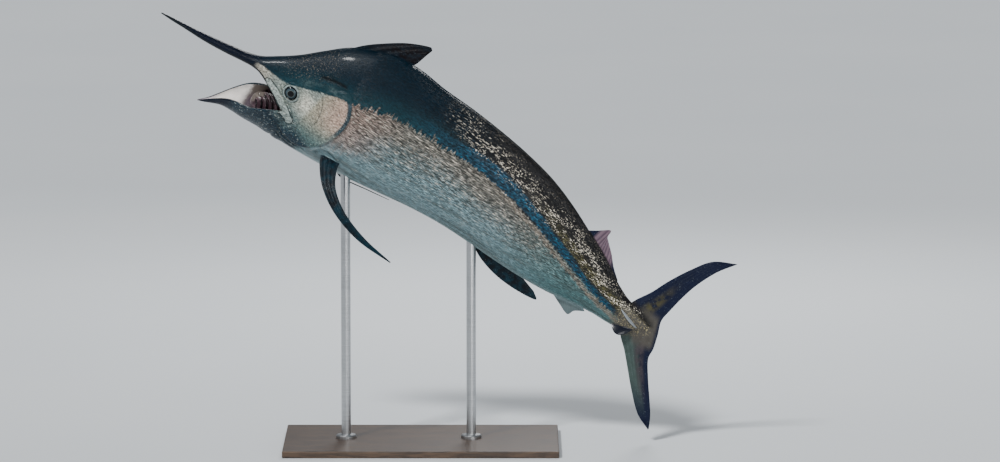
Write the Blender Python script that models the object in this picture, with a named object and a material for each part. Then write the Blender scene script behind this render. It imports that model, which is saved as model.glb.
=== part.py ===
"""A still, life-size black marlin in mid leap, held by a plain display stand.

The fish is laid out in its own measures: along (from the bill tip towards the tail), up (towards
the back) and left (towards its left side). place() turns those into the world, where the fish
faces -X with its head high. The stand's foot is at the world origin. Metres, +Z up.
"""

import math

import bmesh
import bpy
import numpy as np

# Gap that neighbouring pieces keep
GAP = 0.0003

# Pose: the head is pitched up, and the body banks towards the viewer, most at the head
PITCH = math.radians(33.7)
BANK_HEAD = math.radians(20.0)
BANK_TAIL = math.radians(10.0)
BANK_FROM = 1.00
BANK_TO = 3.20
BILL_TIP_X = -1.50
BILL_TIP_Z = 2.535

# Lengths along the fish
BILL_END = 0.62
MOUTH_CORNER = 0.905
HEAD_END = 1.30
TRUNK_FRONT_END = 1.80
TRUNK_MIDDLE_END = 2.40
TRUNK_REAR_END = 2.98
STALK_END = 3.36

# Body: distance along, height of the back, height of the belly, half width. Ahead of the mouth's
# corner the belly is that of the closed mouth, and the palate cuts across above it.
BODY = (
    (0.00, 0.003, -0.003, 0.004),
    (0.06, 0.012, -0.003, 0.010),
    (0.15, 0.023, 0.000, 0.016),
    (0.30, 0.045, 0.004, 0.027),
    (0.45, 0.073, 0.019, 0.034),
    (0.55, 0.094, 0.034, 0.039),
    (0.62, 0.121, 0.038, 0.046),
    (0.70, 0.180, 0.000, 0.060),
    (0.80, 0.264, -0.110, 0.085),
    (0.90, 0.368, -0.257, 0.110),
    (1.00, 0.466, -0.262, 0.143),
    (1.10, 0.532, -0.255, 0.170),
    (1.25, 0.587, -0.240, 0.195),
    (1.42, 0.596, -0.216, 0.211),
    (1.60, 0.574, -0.185, 0.218),
    (1.82, 0.562, -0.148, 0.215),
    (2.02, 0.542, -0.130, 0.204),
    (2.22, 0.513, -0.130, 0.185),
    (2.42, 0.468, -0.136, 0.158),
    (2.60, 0.402, -0.134, 0.128),
    (2.76, 0.328, -0.122, 0.099),
    (2.92, 0.249, -0.096, 0.074),
    (3.06, 0.167, -0.078, 0.056),
    (3.16, 0.119, -0.076, 0.046),
    (3.24, 0.095, -0.066, 0.037),
    (3.36, 0.050, 0.000, 0.012),
)

# Upper jaw: how far below the widest line its edge lies, and how flat the palate is, along the head
JAW_EDGE_AT = (0.62, 0.70, 0.80, 0.90)
JAW_EDGE_DEGREES = (40.0, 40.0, 28.0, 19.0)
PALATE_AT = (0.62, 0.70, 0.78)
PALATE_FLATNESS = (0.0, 0.8, 1.0)
PALATE_ARCH = 0.020
WAIST = 0.06

# Lower jaw: distance along, height of the rim, height of the keel, half width, and its roll in
# degrees towards the left side, as the open jaw hangs askew
JAW = (
    (0.452, -0.341, -0.346, 0.004, 0.0),
    (0.490, -0.304, -0.330, 0.014, 2.0),
    (0.530, -0.258, -0.306, 0.038, 3.0),
    (0.570, -0.208, -0.282, 0.064, 5.0),
    (0.640, -0.132, -0.260, 0.102, 12.0),
    (0.720, -0.080, -0.253, 0.119, 17.0),
    (0.820, -0.048, -0.257, 0.119, 10.0),
    (0.905, -0.034, -0.262, 0.112, 3.0),
)
JAW_WALL = 0.014
JAW_LIP = 0.004
JAW_SIDES = 14

# Mouth hollow in the head, behind the open jaws
MOUTH_DEPTH = 0.150
MOUTH_HEIGHT = 0.086
MOUTH_HALF_WIDTH = 0.080
MOUTH_LEVEL = -0.118
MOUTH_STEP = 0.002

# Eye
EYE_ALONG = 0.878
EYE_UP = 0.078
EYE_RADIUS = 0.042
EYE_BULGE = 0.030
EYE_SINK = 0.020
LID_WIDTH = 0.009

# Upper jaw plate at the mouth's corner: its two ends, half height and thickness
CHEEK_PLATE_FRONT = (0.735, 0.040)
CHEEK_PLATE_REAR = (0.952, -0.068)
CHEEK_PLATE_HALF_HEIGHT = 0.024
CHEEK_PLATE_THICKNESS = 0.012

# Room between the closed parts of the two jaws, and the distance between the upper jaw's rings
JAW_CLEARANCE = 0.002
UPPER_JAW_STEP = 0.035

# Nostrils, two to a side, in front of the eye
NOSTRILS = ((0.812, 0.118), (0.828, 0.120))
NOSTRIL_RADIUS = 0.0045

# Gill cover outline on the left side: along, up
GILL_OUTLINE = (
    (1.025, 0.205),
    (1.090, 0.276),
    (1.150, 0.302),
    (1.206, 0.262),
    (1.240, 0.185),
    (1.244, 0.105),
    (1.222, 0.012),
    (1.178, -0.085),
    (1.112, -0.165),
    (1.020, -0.200),
    (0.978, -0.120),
    (0.998, 0.050),
)
GILL_RAISE = 0.007
GILL_INNER = 0.075

# How far a fin's root is sunk into the body before it is trimmed to the body's surface
ROOT_SINK = 0.012

# Fins are (rays, rows of points from root to tip, thickness at the root, thickness at the tip)
FIRST_DORSAL_MAKE = (9, 10, 0.016, 0.003)
SECOND_DORSAL_MAKE = (7, 5, 0.014, 0.003)
FIRST_ANAL_MAKE = (9, 5, 0.014, 0.003)
SECOND_ANAL_MAKE = (6, 4, 0.010, 0.003)
PECTORAL_MAKE = (6, 10, 0.030, 0.003)
PELVIC_MAKE = (2, 8, 0.008, 0.002)
TAIL_MAKE = (9, 12, 0.034, 0.004)
RIDGE_DORSAL = 0.35
RIDGE_PAIRED = 0.2
RIDGE_TAIL = 0.3

# First dorsal fin: its front and rear edges from root to tip, along and above the back
FIRST_DORSAL_FRONT = (
    (1.00, -ROOT_SINK), (1.07, 0.024), (1.15, 0.056), (1.27, 0.110), (1.385, 0.158),
    (1.412, 0.152),
)
FIRST_DORSAL_REAR = (
    (1.36, -ROOT_SINK), (1.380, 0.018), (1.390, 0.050), (1.402, 0.100), (1.414, 0.145),
)

# Fins with a long base: the base and the free edge, along and away from the body's ridge
SECOND_DORSAL_BASE = ((2.745, -ROOT_SINK), (3.060, -ROOT_SINK))
SECOND_DORSAL_EDGE = (
    (2.760, 0.004), (2.800, 0.050), (2.862, 0.124), (2.870, 0.084), (2.896, 0.070),
    (2.948, 0.050), (3.000, 0.024), (3.065, 0.006),
)
FIRST_ANAL_BASE = ((2.240, -ROOT_SINK), (2.560, -ROOT_SINK))
FIRST_ANAL_EDGE = (
    (2.250, 0.004), (2.340, 0.048), (2.460, 0.078), (2.600, 0.088), (2.735, 0.080),
    (2.700, 0.040),
)
SECOND_ANAL_BASE = ((2.800, -ROOT_SINK), (2.975, -ROOT_SINK))
SECOND_ANAL_EDGE = (
    (2.808, 0.004), (2.866, 0.040), (2.935, 0.076), (2.958, 0.040), (3.010, 0.014),
)

# Pectoral and pelvic fins: front and rear edges from root to tip, along, up and left
PECTORAL_FRONT = (
    (1.215, -0.125, 0.120), (1.250, -0.175, 0.190), (1.335, -0.235, 0.290),
    (1.475, -0.288, 0.380), (1.665, -0.322, 0.440), (1.885, -0.320, 0.470),
)
PECTORAL_REAR = (
    (1.335, -0.095, 0.120), (1.345, -0.135, 0.195), (1.400, -0.195, 0.290),
    (1.520, -0.250, 0.375), (1.690, -0.290, 0.435), (1.885, -0.314, 0.468),
)
PELVIC_FRONT = (
    (1.330, -0.205, 0.020), (1.400, -0.245, 0.026), (1.560, -0.222, 0.030),
    (1.700, -0.196, 0.030),
)
PELVIC_REAR = (
    (1.352, -0.205, 0.018), (1.410, -0.234, 0.026), (1.560, -0.214, 0.030),
    (1.700, -0.192, 0.030),
)

# Tail fin: where its lobes part, and the front and rear edge of each from root to tip, along and up
TAIL_MIDDLE = 0.030
UPPER_LEADING = (
    (3.180, TAIL_MIDDLE + GAP / 2), (3.213, 0.126), (3.266, 0.226), (3.311, 0.338),
    (3.376, 0.466), (3.455, 0.582), (3.580, 0.651),
)
UPPER_TRAILING = (
    (3.440, TAIL_MIDDLE + GAP / 2), (3.410, 0.112), (3.416, 0.190), (3.432, 0.300),
    (3.458, 0.410), (3.510, 0.540), (3.580, 0.649),
)
LOWER_LEADING = (
    (3.175, TAIL_MIDDLE - GAP / 2), (3.255, -0.090), (3.330, -0.160), (3.415, -0.250),
    (3.505, -0.345), (3.610, -0.440), (3.715, -0.488),
)
LOWER_TRAILING = (
    (3.440, TAIL_MIDDLE - GAP / 2), (3.466, -0.056), (3.477, -0.128), (3.544, -0.228),
    (3.622, -0.330), (3.680, -0.410), (3.716, -0.480),
)

# Keels on the tail's root: where each starts and ends, along and up, and how far its crest droops
KEELS = {
    "upper": ((3.175, 0.048), (3.312, -0.002), 0.0),
    "lower": ((3.178, -0.056), (3.300, -0.022), 0.048),
}
KEEL_HEIGHT = 0.034
KEEL_THICKNESS = 0.014
KEEL_RINGS = 9

# Stand
BASE_LENGTH = 1.60
BASE_WIDTH = 0.90
BASE_THICKNESS = 0.040
BASE_BEVEL = 0.006
ROD_RADIUS = 0.028
ROD_FRONT_X = -0.440
ROD_REAR_X = 0.290
ROD_COLLAR_RADIUS = 0.060
ROD_COLLAR_HEIGHT = 0.022

# Lengths of the body that are one piece each: start, end, distance between rings
BODY_SPANS = {
    "head": (MOUTH_CORNER + MOUTH_STEP, HEAD_END - GAP / 2, 0.044),
    "trunk_front": (HEAD_END + GAP / 2, TRUNK_FRONT_END - GAP / 2, 0.050),
    "trunk_middle": (TRUNK_FRONT_END + GAP / 2, TRUNK_MIDDLE_END - GAP / 2, 0.050),
    "trunk_rear": (TRUNK_MIDDLE_END + GAP / 2, TRUNK_REAR_END - GAP / 2, 0.050),
    "tail_stalk": (TRUNK_REAR_END + GAP / 2, STALK_END, 0.035),
}

# Points round a body ring above and below the jaw's edges
SIDES_OVER = 22
SIDES_UNDER = 10

SOLVER = "EXACT"


def clear_scene():
    for thing in list(bpy.data.objects):
        bpy.data.objects.remove(thing)


def material(name, colour, roughness, metallic=0.0):
    made = bpy.data.materials.new(name)
    made.use_nodes = True
    shader = made.node_tree.nodes["Principled BSDF"]
    shader.inputs["Base Color"].default_value = (*colour, 1.0)
    shader.inputs["Roughness"].default_value = roughness
    shader.inputs["Metallic"].default_value = metallic
    return made


def bank(along):
    share = min(max((along - BANK_FROM) / (BANK_TO - BANK_FROM), 0.0), 1.0)
    return BANK_HEAD + (BANK_TAIL - BANK_HEAD) * share


def place(along, up, left):
    """The world point of a point measured on the fish."""
    turn = bank(along)
    raised = up * math.cos(turn) - left * math.sin(turn)
    sideways = up * math.sin(turn) + left * math.cos(turn)
    return (
        BILL_TIP_X + along * math.cos(PITCH) + raised * math.sin(PITCH),
        -sideways,
        BILL_TIP_Z - along * math.sin(PITCH) + raised * math.cos(PITCH),
    )


def smooth_column(rows, column, along):
    """One column of a station table at a distance, by a curve through the stations."""
    xs = np.array([row[0] for row in rows])
    ys = np.array([row[column] for row in rows])
    slopes = np.gradient(ys, xs)
    i = int(np.clip(np.searchsorted(xs, along) - 1, 0, len(xs) - 2))
    span = xs[i + 1] - xs[i]
    t = min(max((along - xs[i]) / span, 0.0), 1.0)
    return float(
        (2 * t**3 - 3 * t**2 + 1) * ys[i]
        + (t**3 - 2 * t**2 + t) * span * slopes[i]
        + (3 * t**2 - 2 * t**3) * ys[i + 1]
        + (t**3 - t**2) * span * slopes[i + 1]
    )


def smooth_path(points, share):
    """A point at a share of the way along a curve through the given points."""
    rows = [(i / (len(points) - 1), *point) for i, point in enumerate(points)]
    return np.array([smooth_column(rows, c + 1, share) for c in range(len(points[0]))])


def section(along, grow=0.0):
    """Back height, belly height and half width of the body there."""
    back = smooth_column(BODY, 1, along) + grow
    belly = smooth_column(BODY, 2, along) - grow
    return back, belly, smooth_column(BODY, 3, along) + grow


def section_point(back, belly, half, angle):
    """A point of a body section. The angle is 0 at the left side and a quarter turn at the back."""
    reach, middle = (back - belly) / 2, (back + belly) / 2
    side, rise = math.cos(angle), math.sin(angle)
    narrowing = 1 - WAIST * rise * rise if rise > 0 else 1.0
    return middle + reach * rise, half * side * narrowing


def body_ring(along, grow=0.0, open_mouth=False):
    """Points round the body: over the back between the jaw's edges, then back underneath."""
    back, belly, half = section(along, grow)
    edge = math.radians(np.interp(along, JAW_EDGE_AT, JAW_EDGE_DEGREES))
    flatness = float(np.interp(along, PALATE_AT, PALATE_FLATNESS)) if open_mouth else 0.0
    edge_up, edge_left = section_point(back, belly, half, -edge)
    ring = []
    for k in range(SIDES_OVER):
        angle = -edge + (math.pi + 2 * edge) * k / SIDES_OVER
        ring.append(place(along, *section_point(back, belly, half, angle)))
    for k in range(SIDES_UNDER):
        angle = math.pi + edge + (math.pi - 2 * edge) * k / SIDES_UNDER
        up, left = section_point(back, belly, half, angle)
        palate = edge_up + PALATE_ARCH * (1 - min((left / edge_left) ** 2, 1.0))
        ring.append(place(along, up + (palate - up) * flatness, left))
    return ring


def stations(start, end, step):
    count = max(2, int(round((end - start) / step)) + 1)
    return np.linspace(start, end, count)


def mesh_object(name, points, faces, look=None):
    mesh = bpy.data.meshes.new(name)
    mesh.from_pydata([tuple(p) for p in points], [], faces)
    if look is not None:
        mesh.materials.append(look)
    thing = bpy.data.objects.new(name, mesh)
    bpy.context.scene.collection.objects.link(thing)
    fixed = bmesh.new()
    fixed.from_mesh(mesh)
    bmesh.ops.recalc_face_normals(fixed, faces=fixed.faces)
    fixed.to_mesh(mesh)
    fixed.free()
    return thing


def loft(name, rings, look=None, turned_from=None):
    """A closed solid through rings of points, split into triangles the same way all along. A ring
    that comes back along the inside of a wall, from the point turned_from, has its triangles split
    the other way there, so that both faces of the wall fold alike."""
    sides = len(rings[0])
    points = [p for ring in rings for p in ring]
    faces = []
    for i in range(len(rings) - 1):
        for k in range(sides):
            a, b = i * sides + k, i * sides + (k + 1) % sides
            c, d = b + sides, a + sides
            turned = turned_from is not None and k >= turned_from
            faces += [(a, b, d), (b, c, d)] if turned else [(a, b, c), (a, c, d)]
    for first in (0, (len(rings) - 1) * sides):
        if turned_from is None:
            middle = len(points)
            points.append(tuple(np.mean(points[first : first + sides], axis=0)))
            faces += [(middle, first + k, first + (k + 1) % sides) for k in range(sides)]
        else:
            last = first + sides - 1
            for k in range(turned_from - 1):
                faces.append((first + k, first + k + 1, last - k))
                faces.append((first + k + 1, last - k - 1, last - k))
    return mesh_object(name, points, faces, look)


def keep_result(target):
    """Turns a mesh with a modifier into the plain mesh that the modifier makes of it."""
    bpy.context.view_layer.update()
    graph = bpy.context.evaluated_depsgraph_get()
    result = bpy.data.meshes.new_from_object(target.evaluated_get(graph))
    target.modifiers.clear()
    old = target.data
    target.data = result
    bpy.data.meshes.remove(old)
    keep_largest(target)


def trim(target, other, operation="DIFFERENCE"):
    """Cuts a piece by another, or to what they share, and removes the other."""
    change = target.modifiers.new("Trim", "BOOLEAN")
    change.object = other
    change.operation = operation
    change.solver = SOLVER
    keep_result(target)
    bpy.data.objects.remove(other)


def join(target, pieces):
    """Joins closed pieces to a target in one union, and removes them."""
    group = bpy.data.collections.new(target.name + "_pieces")
    for piece in pieces:
        group.objects.link(piece)
    change = target.modifiers.new("Join", "BOOLEAN")
    change.operand_type = "COLLECTION"
    change.collection = group
    change.operation = "UNION"
    change.solver = SOLVER
    keep_result(target)
    for piece in pieces:
        bpy.data.objects.remove(piece)
    bpy.data.collections.remove(group)


def keep_largest(thing):
    """Leaves only the largest closed surface of a mesh."""
    work = bmesh.new()
    work.from_mesh(thing.data)
    unseen, pieces = set(work.verts), []
    while unseen:
        start = unseen.pop()
        piece, front = {start}, [start]
        while front:
            for edge in front.pop().link_edges:
                for vert in edge.verts:
                    if vert in unseen:
                        unseen.discard(vert)
                        piece.add(vert)
                        front.append(vert)
        pieces.append(piece)
    pieces.sort(key=spread, reverse=True)
    loose = [vert for piece in pieces[1:] for vert in piece]
    bmesh.ops.delete(work, geom=loose, context="VERTS")
    work.to_mesh(thing.data)
    work.free()


def spread(piece):
    """The diagonal of a piece's box, which ranks the pieces by size."""
    places = np.array([vert.co for vert in piece])
    return float(np.linalg.norm(places.max(axis=0) - places.min(axis=0)))


def span_stations(name):
    """Where the rings of one length of the body lie."""
    start, end, step = BODY_SPANS[name]
    return stations(start, end, step)


def body_solid(name, grow=0.0, look=None):
    return loft(name, [body_ring(along, grow) for along in span_stations(name)], look)


def cut_by_body(thing):
    """Trims a piece to the body's surface, a gap away from it."""
    places = [along for span in BODY_SPANS for along in span_stations(span)]
    cutter = loft("body_cutter", [body_ring(along, GAP) for along in places])
    trim(thing, cutter)


def ball(name, centre, radii, segments=16, rings=10):
    """An ellipsoid at a place on the fish, with radii along, up and left."""
    work = bmesh.new()
    bmesh.ops.create_uvsphere(work, u_segments=segments, v_segments=rings, radius=1.0)
    for vert in work.verts:
        x, y, z = vert.co
        vert.co = place(centre[0] + x * radii[0], centre[1] + y * radii[1], centre[2] + z * radii[2])
    work.normal_update()
    bmesh.ops.recalc_face_normals(work, faces=work.faces)
    mesh = bpy.data.meshes.new(name)
    work.to_mesh(mesh)
    work.free()
    thing = bpy.data.objects.new(name, mesh)
    bpy.context.scene.collection.objects.link(thing)
    return thing


def surface_left(along, up):
    """How far left the body's side lies at a height."""
    back, belly, half = section(along)
    rise = (up - (back + belly) / 2) / ((back - belly) / 2)
    rise = min(max(rise, -0.999), 0.999)
    narrowing = 1 - WAIST * rise * rise if rise > 0 else 1.0
    return half * math.sqrt(1 - rise * rise) * narrowing


def upper_jaw_rings(grow=0.0):
    """The head over the open mouth, from the bill's root to the mouth's corner."""
    ahead = stations(BILL_END + GAP, MOUTH_CORNER, UPPER_JAW_STEP)
    return [body_ring(along, grow, True) for along in ahead]


def head_rings():
    """From the bill's root to the gill region, with the step of the open mouth."""
    return upper_jaw_rings() + [body_ring(along) for along in span_stations("head")]


def add_bill(look):
    places = (0.0, 0.006, 0.02, *stations(0.06, BILL_END, 0.07))
    return loft("bill", [body_ring(along) for along in places], look)


def gill_prism(name, side, widen):
    """A block over the gill cover's outline, from inside the head out past its side."""
    middle = np.mean(GILL_OUTLINE, axis=0)
    corners = list(GILL_OUTLINE) + [GILL_OUTLINE[0], GILL_OUTLINE[1], GILL_OUTLINE[2]]
    outline = []
    for i in range(len(GILL_OUTLINE)):
        for part in (0.0, 0.5):
            outline.append(round_corner(corners, i, part))
    inner, outer = GILL_INNER - widen, 0.40
    rings = []
    for left in (inner, outer):
        ring = []
        for along, up in outline:
            away = np.array((along, up)) - middle
            away = away * (1 + widen / np.linalg.norm(away))
            ring.append(place(middle[0] + away[0], middle[1] + away[1], side * left))
        rings.append(ring)
    return loft(name, rings)


def round_corner(corners, i, part):
    """A point between the second and third of four corners, on a curve through them all."""
    count = len(corners) - 3
    a, b = np.array(corners[(i - 1) % count]), np.array(corners[i])
    c, d = np.array(corners[i + 1]), np.array(corners[i + 2])
    t = part
    return 0.5 * (
        2 * b + (c - a) * t + (2 * a - 5 * b + 4 * c - d) * t**2 + (3 * b - a - 3 * c + d) * t**3
    )


def eye_left():
    return surface_left(EYE_ALONG, EYE_UP) - EYE_SINK


def ring_fold(name, centre, radius, width, segments=20):
    """A rounded ring about the eye: the lids."""
    sides = 6
    rings = []
    for i in range(segments):
        turn = 2 * math.pi * i / segments
        out = (math.cos(turn), math.sin(turn))
        along, up = centre[0] + radius * out[0], centre[1] + radius * out[1]
        left = abs(centre[2])
        depth = surface_left(along, up) - left
        ring = []
        for k in range(sides):
            around = 2 * math.pi * k / sides
            reach, rise = width * math.cos(around), width * 0.75 * math.sin(around)
            ring.append(
                place(
                    along + reach * out[0],
                    up + reach * out[1],
                    math.copysign(left + depth + rise, centre[2]),
                )
            )
        rings.append(ring)
    points = [p for ring in rings for p in ring]
    faces = []
    for i in range(segments):
        for k in range(sides):
            a, b = i * sides + k, i * sides + (k + 1) % sides
            c, d = ((i + 1) % segments) * sides + (k + 1) % sides, ((i + 1) % segments) * sides + k
            faces += [(a, b, c), (a, c, d)]
    return mesh_object(name, points, faces)


def add_head(look):
    head = loft("head", head_rings(), look)
    raised = []
    for side in (1, -1):
        eye = (EYE_ALONG, EYE_UP, side * eye_left())
        raised.append(ring_fold("lid_fold", eye, EYE_RADIUS + LID_WIDTH * 0.6, LID_WIDTH))
        raised.append(cheek_plate(side))
    join(head, raised)
    for side in (1, -1):
        eye = (EYE_ALONG, EYE_UP, side * eye_left())
        radii = (EYE_RADIUS + GAP, EYE_RADIUS + GAP, EYE_BULGE + GAP)
        trim(head, ball("socket", eye, radii))
        trim(head, gill_prism("gill_slot", side, GAP))
        for along, up in NOSTRILS:
            place_of_pit = (along, up, side * surface_left(along, up))
            trim(head, ball("nostril", place_of_pit, (NOSTRIL_RADIUS,) * 3, 8, 5))
    centre = (MOUTH_CORNER, MOUTH_LEVEL, 0.0)
    trim(head, ball("mouth_hollow", centre, (MOUTH_DEPTH, MOUTH_HEIGHT, MOUTH_HALF_WIDTH)))
    return head


def cheek_plate(side, grow=0.0):
    """The long plate that edges the mouth's corner, lying on the head's side."""
    front, rear = np.array(CHEEK_PLATE_FRONT), np.array(CHEEK_PLATE_REAR)
    run = rear - front
    across = np.array((-run[1], run[0])) / np.linalg.norm(run)
    rings = []
    for t in np.linspace(0.0, 1.0, 9):
        along, up = front + run * t
        swell = math.sqrt(1 - (1.25 * t - 0.35) ** 2) if t > 0.28 else 0.35 + 0.65 * t / 0.28
        height = CHEEK_PLATE_HALF_HEIGHT * swell + grow
        ring = []
        for k in range(8):
            turn = 2 * math.pi * k / 8
            reach = height * math.cos(turn)
            at, level = along + across[0] * reach, up + across[1] * reach
            depth = CHEEK_PLATE_THICKNESS * swell / 2 + grow
            left = surface_left(at, level) + depth * math.sin(turn)
            ring.append(place(at, level, side * left))
        rings.append(ring)
    return loft("cheek_plate", rings)


def add_gill_cover(name, side, look):
    rings = [body_ring(along, GILL_RAISE) for along in span_stations("head")]
    cover = loft(name, rings, look)
    trim(cover, gill_prism("gill_shape", side, 0.0), "INTERSECT")
    return cover


def add_eye(name, side, look):
    radii = (EYE_RADIUS, EYE_RADIUS, EYE_BULGE)
    eye = ball(name, (EYE_ALONG, EYE_UP, side * eye_left()), radii)
    eye.data.materials.append(look)
    return eye


def jaw_place(along, up, left, keel, roll):
    """A point of the jaw in the world, rolled about the jaw's keel."""
    rise = up - keel
    lifted = rise * math.cos(roll) - left * math.sin(roll)
    return place(along, keel + lifted, rise * math.sin(roll) + left * math.cos(roll))


def jaw_ring(along):
    """A trough: the outer wall from rim to rim under the keel, and back along the inside."""
    rim, keel, half, degrees = (smooth_column(JAW, column, along) for column in (1, 2, 3, 4))
    roll = math.radians(degrees)
    wall = min(JAW_WALL, half * 0.45)
    floor = min(JAW_WALL * 1.6, (rim - keel) * 0.55)
    lip = min(JAW_LIP, half * 0.1)
    ring = []
    for k in range(JAW_SIDES + 1):
        angle = math.pi * k / JAW_SIDES
        reach = half + (lip if k in (0, JAW_SIDES) else 0.0)
        up, left = rim - (rim - keel) * math.sin(angle), reach * math.cos(angle)
        ring.append(jaw_place(along, up, left, keel, roll))
    for k in range(JAW_SIDES + 1):
        angle = math.pi * (JAW_SIDES - k) / JAW_SIDES
        up, left = rim - (rim - keel - floor) * math.sin(angle), (half - wall) * math.cos(angle)
        ring.append(jaw_place(along, up, left, keel, roll))
    return ring


def add_lower_jaw(look):
    places = (0.452, 0.470, *stations(0.49, MOUTH_CORNER - GAP, 0.038))
    rings = [jaw_ring(along) for along in places]
    jaw = loft("lower_jaw", rings, look, turned_from=JAW_SIDES + 1)
    trim(jaw, loft("upper_jaw_room", upper_jaw_rings(JAW_CLEARANCE)))
    for side in (1, -1):
        trim(jaw, cheek_plate(side, JAW_CLEARANCE))
    return jaw


def sheet(name, middles, halves, normals, look):
    """A thin closed solid: a grid of middle points with half thicknesses along their normals."""
    rows, columns = len(middles), len(middles[0])
    front, back = [], []
    for i in range(rows):
        for j in range(columns):
            step = np.array(normals[i][j]) * halves[i][j]
            front.append(place(*(np.array(middles[i][j]) + step)))
            back.append(place(*(np.array(middles[i][j]) - step)))
    points, behind = front + back, rows * columns
    faces = []
    for i in range(rows - 1):
        for j in range(columns - 1):
            a = i * columns + j
            b, c, d = a + 1, a + columns + 1, a + columns
            for one in ((a, b, c), (a, c, d)):
                faces.append(one)
                faces.append(tuple(corner + behind for corner in reversed(one)))
    rim = [j for j in range(columns)]
    rim += [i * columns + columns - 1 for i in range(1, rows)]
    rim += [(rows - 1) * columns + j for j in range(columns - 2, -1, -1)]
    rim += [i * columns for i in range(rows - 2, 0, -1)]
    for one, two in zip(rim, rim[1:] + rim[:1]):
        faces += [(one, one + behind, two + behind), (one, two + behind, two)]
    return mesh_object(name, points, faces, look)


def ray_fin(name, front, rear, make, ridge, look, side=1):
    """A fin between a front edge and a rear edge, both run from root to tip, ridged by its rays."""
    rays, rows, thick, thin = make
    columns = 2 * rays + 1
    middles, halves = [], []
    for i in range(rows):
        t = i / (rows - 1)
        ahead, behind = smooth_path(front, t), smooth_path(rear, t)
        row, half_row = [], []
        for j in range(columns):
            s = j / (columns - 1)
            point = ahead + (behind - ahead) * s
            row.append((point[0], point[1], side * point[2]))
            full = (thick + (thin - thick) * t) * (1 - 0.65 * s) * min(1.0, 0.35 + 4 * s)
            wave = 1.0 if j % 2 else 1.0 - ridge
            edge = 0.5 if j in (0, columns - 1) else 1.0
            half_row.append(max(full * wave * edge, thin * 0.5) / 2)
        middles.append(row)
        halves.append(half_row)
    return sheet(name, middles, halves, grid_normals(middles), look)


def grid_normals(middles):
    """The unit normal at each point of a grid, from its neighbours."""
    grid = np.array(middles)
    across = np.gradient(grid, axis=1)
    down = np.gradient(grid, axis=0)
    normal = np.cross(across, down)
    length = np.linalg.norm(normal, axis=2, keepdims=True)
    return normal / np.maximum(length, 1e-9)


def dorsal_line(along, rise):
    """A point above the back's ridge."""
    return (along, smooth_column(BODY, 1, along) + rise, 0.0)


def belly_line(along, drop):
    """A point below the belly's ridge."""
    return (along, smooth_column(BODY, 2, along) - drop, 0.0)


def flat_line(points):
    return [(along, up, 0.0) for along, up in points]


def rising(points):
    return [dorsal_line(along, rise) for along, rise in points]


def hanging(points):
    return [belly_line(along, drop) for along, drop in points]


def add_first_dorsal(look):
    lobe = ray_fin(
        "first_dorsal_fin", rising(FIRST_DORSAL_FRONT), rising(FIRST_DORSAL_REAR),
        FIRST_DORSAL_MAKE, RIDGE_DORSAL, look,
    )
    cut_by_body(lobe)
    return lobe


def long_fin(name, base, edge, make, look):
    """A fin with a long base: its rays run from points along the base to points along its edge."""
    rays, rows, thick, thin = make
    columns = 2 * rays + 1
    middles, halves = [], []
    for i in range(rows):
        t = i / (rows - 1)
        row, half_row = [], []
        for j in range(columns):
            s = j / (columns - 1)
            root, tip = smooth_path(base, s), smooth_path(edge, s)
            row.append(tuple(root + (tip - root) * t))
            wave = 1.0 if j % 2 else 1.0 - RIDGE_DORSAL
            half_row.append((thick + (thin - thick) * t) * wave * (1 - 0.5 * s) / 2)
        middles.append(row)
        halves.append(half_row)
    return sheet(name, middles, halves, grid_normals(middles), look)


def add_second_dorsal(look):
    base, edge = rising(SECOND_DORSAL_BASE), rising(SECOND_DORSAL_EDGE)
    cut_by_body(long_fin("second_dorsal_fin", base, edge, SECOND_DORSAL_MAKE, look))


def add_first_anal(look):
    base, edge = hanging(FIRST_ANAL_BASE), hanging(FIRST_ANAL_EDGE)
    cut_by_body(long_fin("first_anal_fin", base, edge, FIRST_ANAL_MAKE, look))


def add_second_anal(look):
    base, edge = hanging(SECOND_ANAL_BASE), hanging(SECOND_ANAL_EDGE)
    cut_by_body(long_fin("second_anal_fin", base, edge, SECOND_ANAL_MAKE, look))


def add_pectoral(name, side, look):
    fin = ray_fin(name, PECTORAL_FRONT, PECTORAL_REAR, PECTORAL_MAKE, RIDGE_PAIRED, look, side)
    cut_by_body(fin)
    return fin


def add_pelvic(name, side, look):
    fin = ray_fin(name, PELVIC_FRONT, PELVIC_REAR, PELVIC_MAKE, RIDGE_PAIRED, look, side)
    cut_by_body(fin)
    return fin


def add_tail_lobe(name, leading, trailing, look):
    lobe = ray_fin(name, flat_line(leading), flat_line(trailing), TAIL_MAKE, RIDGE_TAIL, look)
    cut_by_body(lobe)
    return lobe


def add_keel(name, ends, side, look):
    """A slim ridge along the side of the tail's root, highest behind its middle."""
    (start, start_up), (end, end_up), droop = ends
    rings = []
    for t in np.linspace(0.0, 1.0, KEEL_RINGS):
        along, up = start + (end - start) * t, start_up + (end_up - start_up) * t
        swell = math.sin(math.pi * min(max(t, 0.04), 0.96)) ** 0.7
        root = surface_left(along, up) * 0.6
        crest = surface_left(along, up) + KEEL_HEIGHT * swell - 0.002
        thick = KEEL_THICKNESS * (0.4 + 0.6 * swell) / 2
        below = crest - 0.006
        sag = droop * swell
        shape = (
            (root, thick), (below, thick * 0.5 - sag), (crest, -sag),
            (below, -thick * 0.5 - sag), (root, -thick),
        )
        rings.append([place(along, up + rise, side * left) for left, rise in shape])
    keel = loft(name, rings, look)
    cut_by_body(keel)
    for edges in (UPPER_LEADING, UPPER_TRAILING), (LOWER_LEADING, LOWER_TRAILING):
        rays, rows, thick, thin = TAIL_MAKE
        room = (rays, rows, thick + 2 * GAP, thin + 2 * GAP)
        trim(keel, ray_fin("lobe_room", *map(flat_line, edges), room, RIDGE_TAIL, look))
    return keel


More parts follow.
